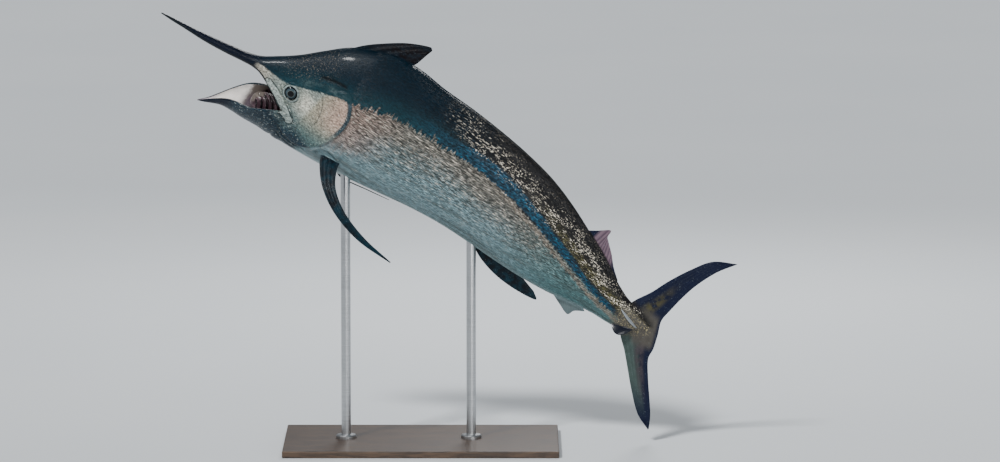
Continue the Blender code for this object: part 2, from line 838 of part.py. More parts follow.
def add_stand(base_look, rod_look):
    work = bmesh.new()
    bmesh.ops.create_cube(work, size=1.0)
    for vert in work.verts:
        vert.co.x *= BASE_LENGTH
        vert.co.y *= BASE_WIDTH
        vert.co.z = (vert.co.z + 0.5) * BASE_THICKNESS
    mesh = bpy.data.meshes.new("stand_base")
    work.to_mesh(mesh)
    work.free()
    mesh.materials.append(base_look)
    base = bpy.data.objects.new("stand_base", mesh)
    bpy.context.scene.collection.objects.link(base)
    bevel = base.modifiers.new("Bevel", "BEVEL")
    bevel.width = BASE_BEVEL
    bevel.segments = 2
    for name, x in (("stand_rod_front", ROD_FRONT_X), ("stand_rod_rear", ROD_REAR_X)):
        add_rod(name, x, rod_look)


def add_rod(name, x, look):
    """A turned rod with a collar at its foot, from the base up to the belly."""
    foot = BASE_THICKNESS + GAP
    profile = (
        (ROD_COLLAR_RADIUS, foot),
        (ROD_COLLAR_RADIUS, foot + ROD_COLLAR_HEIGHT * 0.7),
        (ROD_COLLAR_RADIUS * 0.9, foot + ROD_COLLAR_HEIGHT),
        (ROD_RADIUS, foot + ROD_COLLAR_HEIGHT + 0.002),
        (ROD_RADIUS, rod_top(x)),
    )
    rings = []
    for radius, height in profile:
        turns = [2 * math.pi * k / 20 for k in range(20)]
        rings.append([(x + radius * math.cos(t), radius * math.sin(t), height) for t in turns])
    rod = loft(name, rings, look)
    cut_by_body(rod)
    return rod


def rod_top(x):
    """A height inside the body above a place on the base."""
    along = (x - BILL_TIP_X - 0.10 * math.sin(PITCH)) / math.cos(PITCH)
    return place(along, 0.10, 0.0)[2]


def add_all():
    clear_scene()
    dark = material("back_navy", (0.012, 0.020, 0.035), 0.25)
    silver = material("flank_silver", (0.30, 0.34, 0.33), 0.30)
    cheek = material("cheek", (0.42, 0.40, 0.33), 0.35)
    fin = material("fin_navy", (0.010, 0.014, 0.028), 0.30)
    pale = material("fin_pale", (0.40, 0.40, 0.38), 0.35)
    eye = material("eye", (0.010, 0.016, 0.030), 0.08)
    base = material("stand_paint", (0.03, 0.03, 0.032), 0.45)
    steel = material("stand_steel", (0.55, 0.55, 0.56), 0.30, 1.0)
    add_bill(dark)
    add_head(silver)
    add_lower_jaw(silver)
    for word, side in (("left", 1), ("right", -1)):
        add_gill_cover("gill_cover_" + word, side, cheek)
        add_eye("eye_" + word, side, eye)
        add_pectoral("pectoral_fin_" + word, side, fin)
        add_pelvic("pelvic_fin_" + word, side, fin)
        for level, ends in KEELS.items():
            add_keel("keel_" + level + "_" + word, ends, side, dark)
    for name in ("trunk_front", "trunk_middle", "trunk_rear", "tail_stalk"):
        body_solid(name, 0.0, silver)
    add_first_dorsal(fin)
    add_second_dorsal(fin)
    add_first_anal(fin)
    add_second_anal(pale)
    add_tail_lobe("tail_fin_upper", UPPER_LEADING, UPPER_TRAILING, fin)
    add_tail_lobe("tail_fin_lower", LOWER_LEADING, LOWER_TRAILING, fin)
    add_stand(base, steel)


add_all()
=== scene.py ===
"""Looks of a still, life-size black marlin in mid leap on a display stand.

The fish is laid out in its own measures, as the solids are: along (from the bill tip towards the
tail), up (towards the back) and left (towards its left side). Metres, +Z up.
"""

import math

import bmesh
import bpy
import numpy as np
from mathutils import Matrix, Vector
from mathutils.kdtree import KDTree


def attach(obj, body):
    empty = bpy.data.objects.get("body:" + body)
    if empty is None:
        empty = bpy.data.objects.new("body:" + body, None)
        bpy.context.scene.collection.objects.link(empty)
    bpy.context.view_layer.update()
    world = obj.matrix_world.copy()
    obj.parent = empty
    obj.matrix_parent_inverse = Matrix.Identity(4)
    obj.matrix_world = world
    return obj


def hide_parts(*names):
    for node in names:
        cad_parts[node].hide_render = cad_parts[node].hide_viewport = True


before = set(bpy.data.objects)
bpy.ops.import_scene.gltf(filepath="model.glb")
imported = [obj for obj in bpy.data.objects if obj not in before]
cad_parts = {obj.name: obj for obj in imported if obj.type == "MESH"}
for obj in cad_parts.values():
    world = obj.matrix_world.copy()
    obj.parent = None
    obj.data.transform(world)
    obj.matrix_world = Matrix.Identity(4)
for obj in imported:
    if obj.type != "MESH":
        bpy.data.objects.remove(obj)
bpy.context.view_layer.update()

# Pose, as in the solids
PITCH = math.radians(33.7)
BANK_HEAD = math.radians(20.0)
BANK_TAIL = math.radians(10.0)
BANK_FROM = 1.00
BANK_TO = 3.20
BILL_TIP_X = -1.50
BILL_TIP_Z = 2.535
STALK_END = 3.36

# Body: distance along, height of the back, height of the belly, half width
BODY = (
    (0.00, 0.003, -0.003, 0.004),
    (0.06, 0.012, -0.003, 0.010),
    (0.15, 0.023, 0.000, 0.016),
    (0.30, 0.045, 0.004, 0.027),
    (0.45, 0.073, 0.019, 0.034),
    (0.55, 0.094, 0.034, 0.039),
    (0.62, 0.121, 0.038, 0.046),
    (0.70, 0.180, 0.000, 0.060),
    (0.80, 0.264, -0.110, 0.085),
    (0.90, 0.368, -0.257, 0.110),
    (1.00, 0.466, -0.262, 0.143),
    (1.10, 0.532, -0.255, 0.170),
    (1.25, 0.587, -0.240, 0.195),
    (1.42, 0.596, -0.216, 0.211),
    (1.60, 0.574, -0.185, 0.218),
    (1.82, 0.562, -0.148, 0.215),
    (2.02, 0.542, -0.130, 0.204),
    (2.22, 0.513, -0.130, 0.185),
    (2.42, 0.468, -0.136, 0.158),
    (2.60, 0.402, -0.134, 0.128),
    (2.76, 0.328, -0.122, 0.099),
    (2.92, 0.249, -0.096, 0.074),
    (3.06, 0.167, -0.078, 0.056),
    (3.16, 0.119, -0.076, 0.046),
    (3.24, 0.095, -0.066, 0.037),
    (3.36, 0.050, 0.000, 0.012),
)

# The upper jaw's edge, in degrees below the widest line, and how flat the palate is between edges
JAW_EDGE_AT = (0.62, 0.70, 0.80, 0.90)
JAW_EDGE_DEGREES = (40.0, 40.0, 28.0, 19.0)
PALATE_AT = (0.62, 0.70, 0.78)
PALATE_FLATNESS = (0.0, 0.8, 1.0)
PALATE_ARCH = 0.020
PALATE_LINING_FROM = 0.690
WAIST = 0.06

# Lower jaw: distance along, height of the rim, height of the keel, half width, roll in degrees
JAW = (
    (0.452, -0.341, -0.346, 0.004, 0.0),
    (0.490, -0.304, -0.330, 0.014, 2.0),
    (0.530, -0.258, -0.306, 0.038, 3.0),
    (0.570, -0.208, -0.282, 0.064, 5.0),
    (0.640, -0.132, -0.260, 0.102, 12.0),
    (0.720, -0.080, -0.253, 0.119, 17.0),
    (0.820, -0.048, -0.257, 0.119, 10.0),
    (0.905, -0.034, -0.262, 0.112, 3.0),
    (0.960, -0.040, -0.240, 0.094, 0.0),
    (1.000, -0.060, -0.220, 0.080, 0.0),
)
JAW_WALL = 0.014
JAW_LIP = 0.004

# Points round a ring: round the jaw, and round the body above and below the jaw's edge
JAW_SIDES = 90
RING_OVER = 300
RING_UNDER = 110
HEAD_RING_STEP = 0.0035
TRUNK_RING_STEP = 0.013

# Eye
EYE_ALONG = 0.878
EYE_UP = 0.078
EYE_RADIUS = 0.042
EYE_BULGE = 0.030
EYE_SINK = 0.020
LID_INNER = 0.0385
NOSTRILS = ((0.812, 0.118), (0.828, 0.120))

# Fins. They have the solids' edges, but for the pelvic fins, which lie closer to the belly here.
# Each MAKE gives a fin's rays, its rows of points, and its thickness at the root and at the tip
ROOT_SINK = 0.012
FIRST_DORSAL_MAKE = (30, 60, 0.016, 0.003)
SECOND_DORSAL_MAKE = (18, 26, 0.014, 0.003)
FIRST_ANAL_MAKE = (26, 26, 0.014, 0.003)
SECOND_ANAL_MAKE = (14, 18, 0.010, 0.003)
PECTORAL_MAKE = (22, 80, 0.030, 0.003)
PELVIC_MAKE = (4, 60, 0.008, 0.002)
TAIL_MAKE = (34, 90, 0.034, 0.004)
FIRST_DORSAL_FRONT = (
    (1.00, -ROOT_SINK), (1.07, 0.024), (1.15, 0.056), (1.27, 0.110), (1.385, 0.158),
    (1.412, 0.152),
)
FIRST_DORSAL_REAR = (
    (1.36, -ROOT_SINK), (1.380, 0.018), (1.390, 0.050), (1.402, 0.100), (1.414, 0.145),
)
SECOND_DORSAL_BASE = ((2.745, -ROOT_SINK), (3.060, -ROOT_SINK))
SECOND_DORSAL_EDGE = (
    (2.760, 0.004), (2.800, 0.050), (2.862, 0.124), (2.870, 0.084), (2.896, 0.070),
    (2.948, 0.050), (3.000, 0.024), (3.065, 0.006),
)
FIRST_ANAL_BASE = ((2.240, -ROOT_SINK), (2.560, -ROOT_SINK))
FIRST_ANAL_EDGE = (
    (2.250, 0.004), (2.340, 0.048), (2.460, 0.078), (2.600, 0.088), (2.735, 0.080),
    (2.700, 0.040),
)
SECOND_ANAL_BASE = ((2.800, -ROOT_SINK), (2.975, -ROOT_SINK))
SECOND_ANAL_EDGE = (
    (2.808, 0.004), (2.866, 0.040), (2.935, 0.076), (2.958, 0.040), (3.010, 0.014),
)
PECTORAL_FRONT = (
    (1.215, -0.125, 0.120), (1.250, -0.175, 0.190), (1.335, -0.235, 0.290),
    (1.475, -0.288, 0.380), (1.665, -0.322, 0.440), (1.885, -0.320, 0.470),
)
PECTORAL_REAR = (
    (1.335, -0.095, 0.120), (1.345, -0.135, 0.195), (1.400, -0.195, 0.290),
    (1.520, -0.250, 0.375), (1.690, -0.290, 0.435), (1.885, -0.314, 0.468),
)
PELVIC_FRONT = (
    (1.330, -0.205, 0.020), (1.400, -0.236, 0.026), (1.560, -0.208, 0.030),
    (1.700, -0.183, 0.030),
)
PELVIC_REAR = (
    (1.352, -0.205, 0.018), (1.410, -0.228, 0.026), (1.560, -0.202, 0.030),
    (1.700, -0.180, 0.030),
)
TAIL_MIDDLE = 0.030
UPPER_LEADING = (
    (3.180, TAIL_MIDDLE), (3.213, 0.126), (3.266, 0.226), (3.311, 0.338),
    (3.376, 0.466), (3.455, 0.582), (3.580, 0.651),
)
UPPER_TRAILING = (
    (3.440, TAIL_MIDDLE), (3.410, 0.112), (3.416, 0.190), (3.432, 0.300),
    (3.458, 0.410), (3.510, 0.540), (3.580, 0.649),
)
LOWER_LEADING = (
    (3.175, TAIL_MIDDLE), (3.255, -0.090), (3.330, -0.160), (3.415, -0.250),
    (3.505, -0.345), (3.610, -0.440), (3.715, -0.488),
)
LOWER_TRAILING = (
    (3.440, TAIL_MIDDLE), (3.466, -0.056), (3.477, -0.128), (3.544, -0.228),
    (3.622, -0.330), (3.680, -0.410), (3.716, -0.480),
)
KEELS = {
    "upper": ((3.175, 0.048), (3.312, -0.002), 0.0),
    "lower": ((3.178, -0.056), (3.300, -0.022), 0.048),
}
KEEL_HEIGHT = 0.034
KEEL_THICKNESS = 0.014
GILL_RAISE = 0.007
HEAD_FROM = 0.60
HEAD_TO = 1.42

# A distance beyond any on the fish
FAR = 9.0

# Head features in side view, the same on both sides: along, up
GILL_OUTLINE = [
    (1.025, 0.205), (1.090, 0.276), (1.150, 0.302), (1.206, 0.262), (1.240, 0.185),
    (1.244, 0.105), (1.222, 0.012), (1.178, -0.085), (1.112, -0.165), (1.020, -0.200),
    (0.978, -0.120), (0.998, 0.050),
]
CHEEK_PLATE_LINE = ((0.735, 0.040), (0.808, 0.018), (0.880, -0.020), (0.952, -0.068))
CHEEK_PLATE_HALF_HEIGHT = 0.024
CHEEK_PLATE_THICKNESS = 0.012
PREOPERCLE = ((1.032, 0.195), (1.065, 0.154), (1.082, 0.106), (1.089, 0.056), (1.081, -0.014))
NAPE = ((0.955, 0.272), (1.024, 0.303), (1.080, 0.321), (1.140, 0.329))
BEHIND_PLATE = (
    (0.840, 0.030), (0.890, 0.012), (0.929, -0.007), (0.962, -0.040), (0.975, -0.080),
)
CHEEK_DIMPLE = ((0.955, 0.030), (0.979, 0.021), (1.004, 0.029))
THROAT_UPPER = (
    (0.900, -0.124), (0.942, -0.167), (1.005, -0.194), (1.086, -0.193), (1.140, -0.170),
)
THROAT_LOWER = ((0.915, -0.180), (0.975, -0.213), (1.060, -0.222), (1.150, -0.205))
CHEEK_MOTTLE = (
    (0.905, -0.070), (0.955, -0.095), (1.010, -0.140), (1.070, -0.185),
)
THROAT_FAINT = ((0.995, -0.112), (1.047, -0.114), (1.115, -0.135))
PECTORAL_FOLD = (
    (1.129, -0.164), (1.170, -0.117), (1.214, -0.078), (1.260, -0.073), (1.302, -0.085),
    (1.338, -0.108),
)
PECTORAL_HOLLOW = (
    (1.165, -0.160), (1.195, -0.116), (1.226, -0.096), (1.262, -0.090), (1.300, -0.102),
)
DARK_EDGE = (
    (0.000, 0.000), (0.500, 0.040), (0.636, 0.097), (0.744, 0.100), (0.846, 0.116),
    (0.920, 0.155), (1.011, 0.202), (1.086, 0.240), (1.155, 0.262), (1.242, 0.278),
    (1.329, 0.316), (1.415, 0.342), (1.549, 0.350), (1.700, 0.358), (1.870, 0.353),
    (2.030, 0.343), (2.240, 0.300), (2.480, 0.228), (2.704, 0.140), (2.871, 0.079),
    (2.948, 0.050), (3.101, 0.009), (3.360, -0.045),
)

# Rings round the eye and along the gill cover: height, distance from the edge, half width
LID_RINGS = ((0.0050, 0.005, 0.0042), (-0.0025, 0.014, 0.0035), (0.0035, 0.021, 0.0055))
GILL_RINGS = ((-0.0035, -0.007, 0.006), (-0.0012, 0.030, 0.004))

# Folds and grooves of the head: line, depth (less than nothing for a raised fold), half width
FOLDS = (
    (PREOPERCLE, 0.0028, 0.0045),
    (NAPE, 0.0030, 0.0120),
    (BEHIND_PLATE, 0.0075, 0.0060),
    (CHEEK_DIMPLE, 0.0060, 0.0080),
    (THROAT_UPPER, 0.0060, 0.0065),
    (THROAT_LOWER, 0.0045, 0.0065),
    (THROAT_FAINT, 0.0028, 0.0060),
    (PECTORAL_FOLD, -0.0100, 0.0110),
    (PECTORAL_HOLLOW, 0.0070, 0.0100),
)
MOUTH_HOLLOW = ((0.905, -0.118, 0.0), (0.150, 0.086, 0.080))
GILL_BASKET = ((0.856, -0.128, 0.0), (0.152, 0.084, 0.072))
GILL_ARCH_STEP = 0.036
GILL_SLIT_DEPTH = 0.016


def bank(along):
    share = np.clip((along - BANK_FROM) / (BANK_TO - BANK_FROM), 0.0, 1.0)
    return BANK_HEAD + (BANK_TAIL - BANK_HEAD) * share


def place(fish):
    """World points of points measured on the fish: along, up, left."""
    fish = np.asarray(fish, float)
    along, up, left = fish[..., 0], fish[..., 1], fish[..., 2]
    turn = bank(along)
    raised = up * np.cos(turn) - left * np.sin(turn)
    sideways = up * np.sin(turn) + left * np.cos(turn)
    x = BILL_TIP_X + along * math.cos(PITCH) + raised * math.sin(PITCH)
    z = BILL_TIP_Z - along * math.sin(PITCH) + raised * math.cos(PITCH)
    return np.stack((x, -sideways, z), axis=-1)


def unplace(world):
    """The fish's own measures of world points."""
    x, sideways, z = world[:, 0] - BILL_TIP_X, -world[:, 1], world[:, 2] - BILL_TIP_Z
    along = x * math.cos(PITCH) - z * math.sin(PITCH)
    raised = x * math.sin(PITCH) + z * math.cos(PITCH)
    turn = bank(along)
    up = raised * np.cos(turn) + sideways * np.sin(turn)
    left = sideways * np.cos(turn) - raised * np.sin(turn)
    return np.stack((along, up, left), axis=1)


def column(rows, index, along):
    """One column of a station table at many distances, by a curve through the stations."""
    xs = np.array([row[0] for row in rows])
    ys = np.array([row[index] for row in rows])
    slopes = np.gradient(ys, xs)
    along = np.asarray(along, float)
    i = np.clip(np.searchsorted(xs, along) - 1, 0, len(xs) - 2)
    span = xs[i + 1] - xs[i]
    t = np.clip((along - xs[i]) / span, 0.0, 1.0)
    return (
        (2 * t**3 - 3 * t**2 + 1) * ys[i]
        + (t**3 - 2 * t**2 + t) * span * slopes[i]
        + (3 * t**2 - 2 * t**3) * ys[i + 1]
        + (t**3 - t**2) * span * slopes[i + 1]
    )


def path(points, shares):
    """Points at shares of the way along a curve through the given points."""
    rows = [(i / (len(points) - 1), *point) for i, point in enumerate(points)]
    return np.stack([column(rows, c + 1, shares) for c in range(len(points[0]))], axis=-1)


def section(along):
    return column(BODY, 1, along), column(BODY, 2, along), column(BODY, 3, along)


def section_point(back, belly, half, angle):
    """A point of a body section. The angle is 0 at the left side and a quarter turn at the back."""
    reach, middle = (back - belly) / 2, (back + belly) / 2
    side, rise = np.cos(angle), np.sin(angle)
    narrowing = np.where(rise > 0, 1 - WAIST * rise * rise, 1.0)
    return middle + reach * rise, half * side * narrowing


def surface_left(along, up):
    """How far left the body's side lies at a height."""
    back, belly, half = section(along)
    rise = np.clip((up - (back + belly) / 2) / ((back - belly) / 2), -0.999, 0.999)
    narrowing = np.where(rise > 0, 1 - WAIST * rise * rise, 1.0)
    return half * np.sqrt(1 - rise * rise) * narrowing


def smooth(edge0, edge1, value):
    t = np.clip((value - edge0) / (edge1 - edge0), 0.0, 1.0)
    return t * t * (3 - 2 * t)


def body_grid(places, over, under, open_mouth=False):
    """Rings of points round the body, as a grid of fish measures, with the palate if asked."""
    places = np.asarray(places, float)[:, None]
    back, belly, half = section(places)
    edge = np.radians(np.interp(places, JAW_EDGE_AT, JAW_EDGE_DEGREES))
    flat = np.interp(places, PALATE_AT, PALATE_FLATNESS) if open_mouth else 0.0 * places
    edge_up, edge_left = section_point(back, belly, half, -edge)
    top = -edge + (math.pi + 2 * edge) * np.arange(over)[None, :] / over
    low = math.pi + edge + (math.pi - 2 * edge) * np.arange(under)[None, :] / under
    top_up, top_left = section_point(back, belly, half, top)
    low_up, low_left = section_point(back, belly, half, low)
    palate = edge_up + PALATE_ARCH * (1 - np.minimum((low_left / edge_left) ** 2, 1.0))
    low_up = low_up + (palate - low_up) * flat
    up = np.concatenate((top_up, low_up), axis=1)
    left = np.concatenate((top_left, low_left), axis=1)
    return np.stack((np.broadcast_to(places, up.shape), up, left), axis=-1)


def swelled(grid):
    """A body grid pushed out along its own normals by the head's relief."""
    world = place(grid)
    across = np.roll(world, -1, axis=1) - np.roll(world, 1, axis=1)
    down = np.gradient(world, axis=0)
    normal = np.cross(down, across)
    normal /= np.maximum(np.linalg.norm(normal, axis=2, keepdims=True), 1e-9)
    middle = world.mean(axis=1, keepdims=True)
    normal *= np.sign(((world - middle) * normal).sum(axis=2).mean())
    rise = relief(grid[..., 0], grid[..., 1], grid[..., 2])
    return world + normal * rise[..., None]


def linked(name, data):
    thing = bpy.data.objects.new(name, data)
    bpy.context.scene.collection.objects.link(thing)
    return thing


def smoothed(thing):
    for polygon in thing.data.polygons:
        polygon.use_smooth = True


def make_object(name, points, faces, slot=0):
    mesh = bpy.data.meshes.new(name)
    mesh.from_pydata(np.asarray(points, float).reshape(-1, 3).tolist(), [], faces)
    for look in SKIN_LOOKS:
        mesh.materials.append(look)
    mesh.polygons.foreach_set("material_index", np.full(len(mesh.polygons), slot, np.int32))
    thing = linked(name, mesh)
    fixed = bmesh.new()
    fixed.from_mesh(mesh)
    bmesh.ops.recalc_face_normals(fixed, faces=fixed.faces)
    fixed.to_mesh(mesh)
    fixed.free()
    return thing


def grid_faces(rows, columns, closed):
    """Quads of a grid of points, wrapped round its columns when closed."""
    last = columns if closed else columns - 1
    faces = []
    for i in range(rows - 1):
        for j in range(last):
            a, b = i * columns + j, i * columns + (j + 1) % columns
            faces.append((a, b, b + columns, a + columns))
    return faces


def tube(name, world, slot=0):
    """A closed solid through rings of world points, its ends closed by fans."""
    rows, columns = world.shape[:2]
    points = list(world.reshape(-1, 3))
    faces = grid_faces(rows, columns, True)
    for first in (0, (rows - 1) * columns):
        middle = len(points)
        points.append(world.reshape(-1, 3)[first : first + columns].mean(axis=0))
        faces += [(middle, first + k, first + (k + 1) % columns) for k in range(columns)]
    return make_object(name, points, faces, slot)


def boolean(target, other, operation):
    """Joins or cuts, keeps the result as a plain mesh and removes the other piece."""
    change = target.modifiers.new("Change", "BOOLEAN")
    change.object = other
    change.operation = operation
    change.solver = "MANIFOLD"
    bpy.context.view_layer.update()
    graph = bpy.context.evaluated_depsgraph_get()
    result = bpy.data.meshes.new_from_object(target.evaluated_get(graph))
    target.modifiers.clear()
    target.data = result
    bpy.data.objects.remove(other)


def jaw_grid(places, sides):
    """Rings of the jaw's trough: outer wall from rim to rim, then the inside back."""
    places = np.asarray(places, float)[:, None]
    rim, keel, half, roll = (column(JAW, c, places) for c in (1, 2, 3, 4))
    roll = np.radians(roll)
    wall = np.minimum(JAW_WALL, half * 0.45)
    floor = np.minimum(JAW_WALL * 1.6, (rim - keel) * 0.55)
    lip = np.minimum(JAW_LIP, half * 0.1)
    angle = math.pi * np.arange(sides + 1)[None, :] / sides
    near_rim = np.exp(-((np.sin(angle) / 0.12) ** 2))
    outer_up = rim - (rim - keel) * np.sin(angle)
    outer_left = (half + lip * near_rim) * np.cos(angle)
    inner_up = rim - (rim - keel - floor) * np.sin(angle[:, ::-1])
    inner_left = (half - wall) * np.cos(angle[:, ::-1])
    up = np.concatenate((outer_up, inner_up), axis=1) - keel
    left = np.concatenate((outer_left, inner_left), axis=1)
    lifted = up * np.cos(roll) - left * np.sin(roll)
    aside = up * np.sin(roll) + left * np.cos(roll)
    return np.stack((np.broadcast_to(places, up.shape), keel + lifted, aside), axis=-1)


def trough(name, world, slot=0):
    """A closed trough from rings that come back along their inside."""
    rows, columns = world.shape[:2]
    faces = grid_faces(rows, columns, True)
    for first in (0, (rows - 1) * columns):
        last = first + columns - 1
        for k in range(columns // 2 - 1):
            faces.append((first + k, first + k + 1, last - k - 1, last - k))
    return make_object(name, world, faces, slot)


def grid_normals(grid):
    across, down = np.gradient(grid, axis=1), np.gradient(grid, axis=0)
    normal = np.cross(across, down)
    return normal / np.maximum(np.linalg.norm(normal, axis=2, keepdims=True), 1e-9)


def sheet_solid(name, middles, halves, slot):
    """A thin closed solid about a grid of middle points. It keeps each point's place on the fin."""
    rows, columns = middles.shape[:2]
    step = grid_normals(middles) * halves[..., None]
    front, back = place(middles + step), place(middles - step)
    points = np.concatenate((front.reshape(-1, 3), back.reshape(-1, 3)))
    behind = rows * columns
    faces = grid_faces(rows, columns, False)
    faces += [tuple(c + behind for c in reversed(face)) for face in faces]
    rim = list(range(columns))
    rim += [i * columns + columns - 1 for i in range(1, rows)]
    rim += [(rows - 1) * columns + j for j in range(columns - 2, -1, -1)]
    rim += [i * columns for i in range(rows - 2, 0, -1)]
    for one, two in zip(rim, rim[1:] + rim[:1]):
        faces.append((one, one + behind, two + behind, two))
    fin = make_object(name, points, faces, slot)
    out = np.linspace(0.0, 1.0, rows)[:, None] + np.zeros((1, columns))
    back_share = np.linspace(0.0, 1.0, columns)[None, :] + np.zeros((rows, 1))
    where = np.stack((out, back_share), axis=-1).reshape(-1, 2)
    FIN_PLACES.append((slot, points, np.concatenate((where, where))))
    return fin


def ray_wave(columns, rays, depth):
    """The rise and fall of thickness across a fin's rays."""
    s = np.linspace(0.0, 1.0, columns)
    return 1.0 - depth * (0.5 + 0.5 * np.cos(2 * math.pi * rays * s)) ** 0.7


def ray_fin(name, front, rear, make, depth, slot, side=1):
    """A fin between a front edge and a rear edge, both run from root to tip."""
    rays, rows, thick, thin = make
    columns = rays * 6 + 1
    t = np.linspace(0.0, 1.0, rows)
    s = np.linspace(0.0, 1.0, columns)
    ahead, behind = path(front, t)[:, None, :], path(rear, t)[:, None, :]
    middles = ahead + (behind - ahead) * s[None, :, None]
    middles[..., 2] *= side
    full = (thick + (thin - thick) * t)[:, None] * (1 - 0.65 * s) * np.minimum(1.0, 0.35 + 4 * s)
    halves = full * ray_wave(columns, rays, depth)[None, :] / 2
    halves[:, (0, -1)] *= 0.5
    return sheet_solid(name, middles, np.maximum(halves, thin * 0.25), slot)


def long_fin(name, base, edge, make, depth, slot):
    """A fin with a long base: its rays run from points along the base to points along its edge."""
    rays, rows, thick, thin = make
    columns = rays * 6 + 1
    t = np.linspace(0.0, 1.0, rows)[:, None, None]
    s = np.linspace(0.0, 1.0, columns)
    root, tip = path(base, s)[None], path(edge, s)[None]
    middles = root + (tip - root) * t
    full = (thick + (thin - thick) * t[..., 0]) * (1 - 0.5 * s)[None, :]
    halves = full * ray_wave(columns, rays, depth)[None, :] / 2
    return sheet_solid(name, middles, np.maximum(halves, 0.0006), slot)


def dorsal_line(points):
    points = np.array(points)
    rise = column(BODY, 1, points[:, 0]) + points[:, 1]
    return np.stack((points[:, 0], rise, 0 * rise), axis=1)


def belly_line(points):
    points = np.array(points)
    drop = column(BODY, 2, points[:, 0]) - points[:, 1]
    return np.stack((points[:, 0], drop, 0 * drop), axis=1)


def flat_line(points):
    return [(along, up, 0.0) for along, up in points]


def smooth_line(points, count=24):
    return path(points, np.linspace(0.0, 1.0, count))


def line_distance(along, up, line):
    """Distance to a line in the fish's side view, the share of the way along it, and the side."""
    best = np.full(along.shape, FAR)
    share, side = np.zeros(along.shape), np.zeros(along.shape)
    for i in range(len(line) - 1):
        start, run = line[i], line[i + 1] - line[i]
        x, y = along - start[0], up - start[1]
        t = np.clip((x * run[0] + y * run[1]) / (run @ run), 0.0, 1.0)
        gap = np.hypot(x - run[0] * t, y - run[1] * t)
        near = gap < best
        best = np.where(near, gap, best)
        share = np.where(near, (i + t) / (len(line) - 1), share)
        side = np.where(near, np.sign(x * run[1] - y * run[0]), side)
    return best, share, side


def closed_distance(along, up, corners):
    """Distance inside a closed outline of the side view, and less than nothing outside it."""
    turned = np.array(corners + corners[:1])
    best = np.full(along.shape, FAR)
    inside = np.zeros(along.shape, bool)
    for one, two in zip(turned, turned[1:]):
        run = two - one
        x, y = along - one[0], up - one[1]
        t = np.clip((x * run[0] + y * run[1]) / (run @ run), 0.0, 1.0)
        best = np.minimum(best, np.hypot(x - run[0] * t, y - run[1] * t))
        crosses = (one[1] > up) != (two[1] > up)
        slope = run[0] / (run[1] if abs(run[1]) > 1e-9 else 1e-9)
        inside ^= crosses & (along < one[0] + (up - one[1]) * slope)
    return np.where(inside, best, -best)


def rounded(corners):
    """A closed curve through the corners of an outline."""
    count, made = len(corners), []
    for i in range(count):
        a, b, c, d = (np.array(corners[(i + k) % count]) for k in (-1, 0, 1, 2))
        for t in np.linspace(0.0, 1.0, 7)[:-1]:
            bend = (2 * a - 5 * b + 4 * c - d) * t**2 + (3 * b - a - 3 * c + d) * t**3
            made.append(tuple(0.5 * (2 * b + (c - a) * t + bend)))
    return made


def groove(along, up, line, depth, width, fade=0.15):
    """A groove along a line that runs out at both ends, or a fold where the depth is negative."""
    gap, share, _ = line_distance(along, up, line)
    ends = smooth(0.0, fade, share) * smooth(0.0, fade, 1 - share)
    return -depth * ends * np.exp(-((gap / width) ** 2))


def relief(along, up, left):
    """How far the skin stands out from the plain body section."""
    rise = 0.0 * along
    head = (along > HEAD_FROM) & (along < HEAD_TO)
    a, u, w = along[head], up[head], left[head]
    inside = closed_distance(a, u, GILL_EDGE)
    free = smooth(0.99, 1.13, a)
    made = GILL_RAISE * free * smooth(-0.002, 0.005, inside)
    for height, middle, width in GILL_RINGS:
        made += height * free * np.exp(-(((inside - middle) / width) ** 2))
    for line, depth, width in FOLDS:
        made += groove(a, u, smooth_line(line), depth, width)
    ring = np.hypot(a - EYE_ALONG, u - EYE_UP)
    made -= 0.0130 * (1 - smooth(LID_INNER - 0.003, LID_INNER + 0.003, ring))
    for height, middle, width in LID_RINGS:
        made += height * np.exp(-(((ring - LID_INNER - middle) / width) ** 2))
    for pit in NOSTRILS:
        made -= 0.0040 * np.exp(-((np.hypot(a - pit[0], u - pit[1]) / 0.0042) ** 2))
    rise[head] = made * smooth(0.02, 0.05, np.abs(w))
    return rise


def ball(name, centre, radii, segments, rings, slot=0, fullness=0.0):
    """An ellipsoid with radii along, up and left, its shoulders fuller by a share."""
    turn = 2 * math.pi * np.arange(segments)[None, :] / segments
    tilt = math.pi * np.arange(1, rings)[:, None] / rings
    out = np.sin(tilt) * (1.0 + fullness * np.sin(tilt) ** 2 * np.cos(tilt) ** 2)
    along, up = centre[0] + radii[0] * np.cos(turn) * out, centre[1] + radii[1] * np.sin(turn) * out
    left = centre[2] + radii[2] * np.cos(tilt) + 0 * turn
    return tube(name, place(np.stack((along, up, left), axis=-1)), slot)


def keel_tube(ends, side):
    """A slim ridge along the side of the tail's root, highest near its middle."""
    (start, start_up), (end, end_up), droop = ends
    rings = []
    for t in np.linspace(0.0, 1.0, 44):
        along, up = start + (end - start) * t, start_up + (end_up - start_up) * t
        swell = math.sin(math.pi * min(max(t, 0.03), 0.97)) ** 0.7
        left = float(surface_left(along, up))
        thick = KEEL_THICKNESS * (0.4 + 0.6 * swell) / 2
        turns = np.linspace(0.0, math.pi, 13)
        reach = left * 0.6 + (left * 0.4 + KEEL_HEIGHT * swell - 0.002) * np.sin(turns)
        rise = thick * np.cos(turns) - droop * swell * np.sin(turns) ** 2
        rings.append(np.stack((along + 0 * reach, up + rise, side * reach), axis=-1))
    return tube("keel", place(np.array(rings)), SLOT_KEEL)


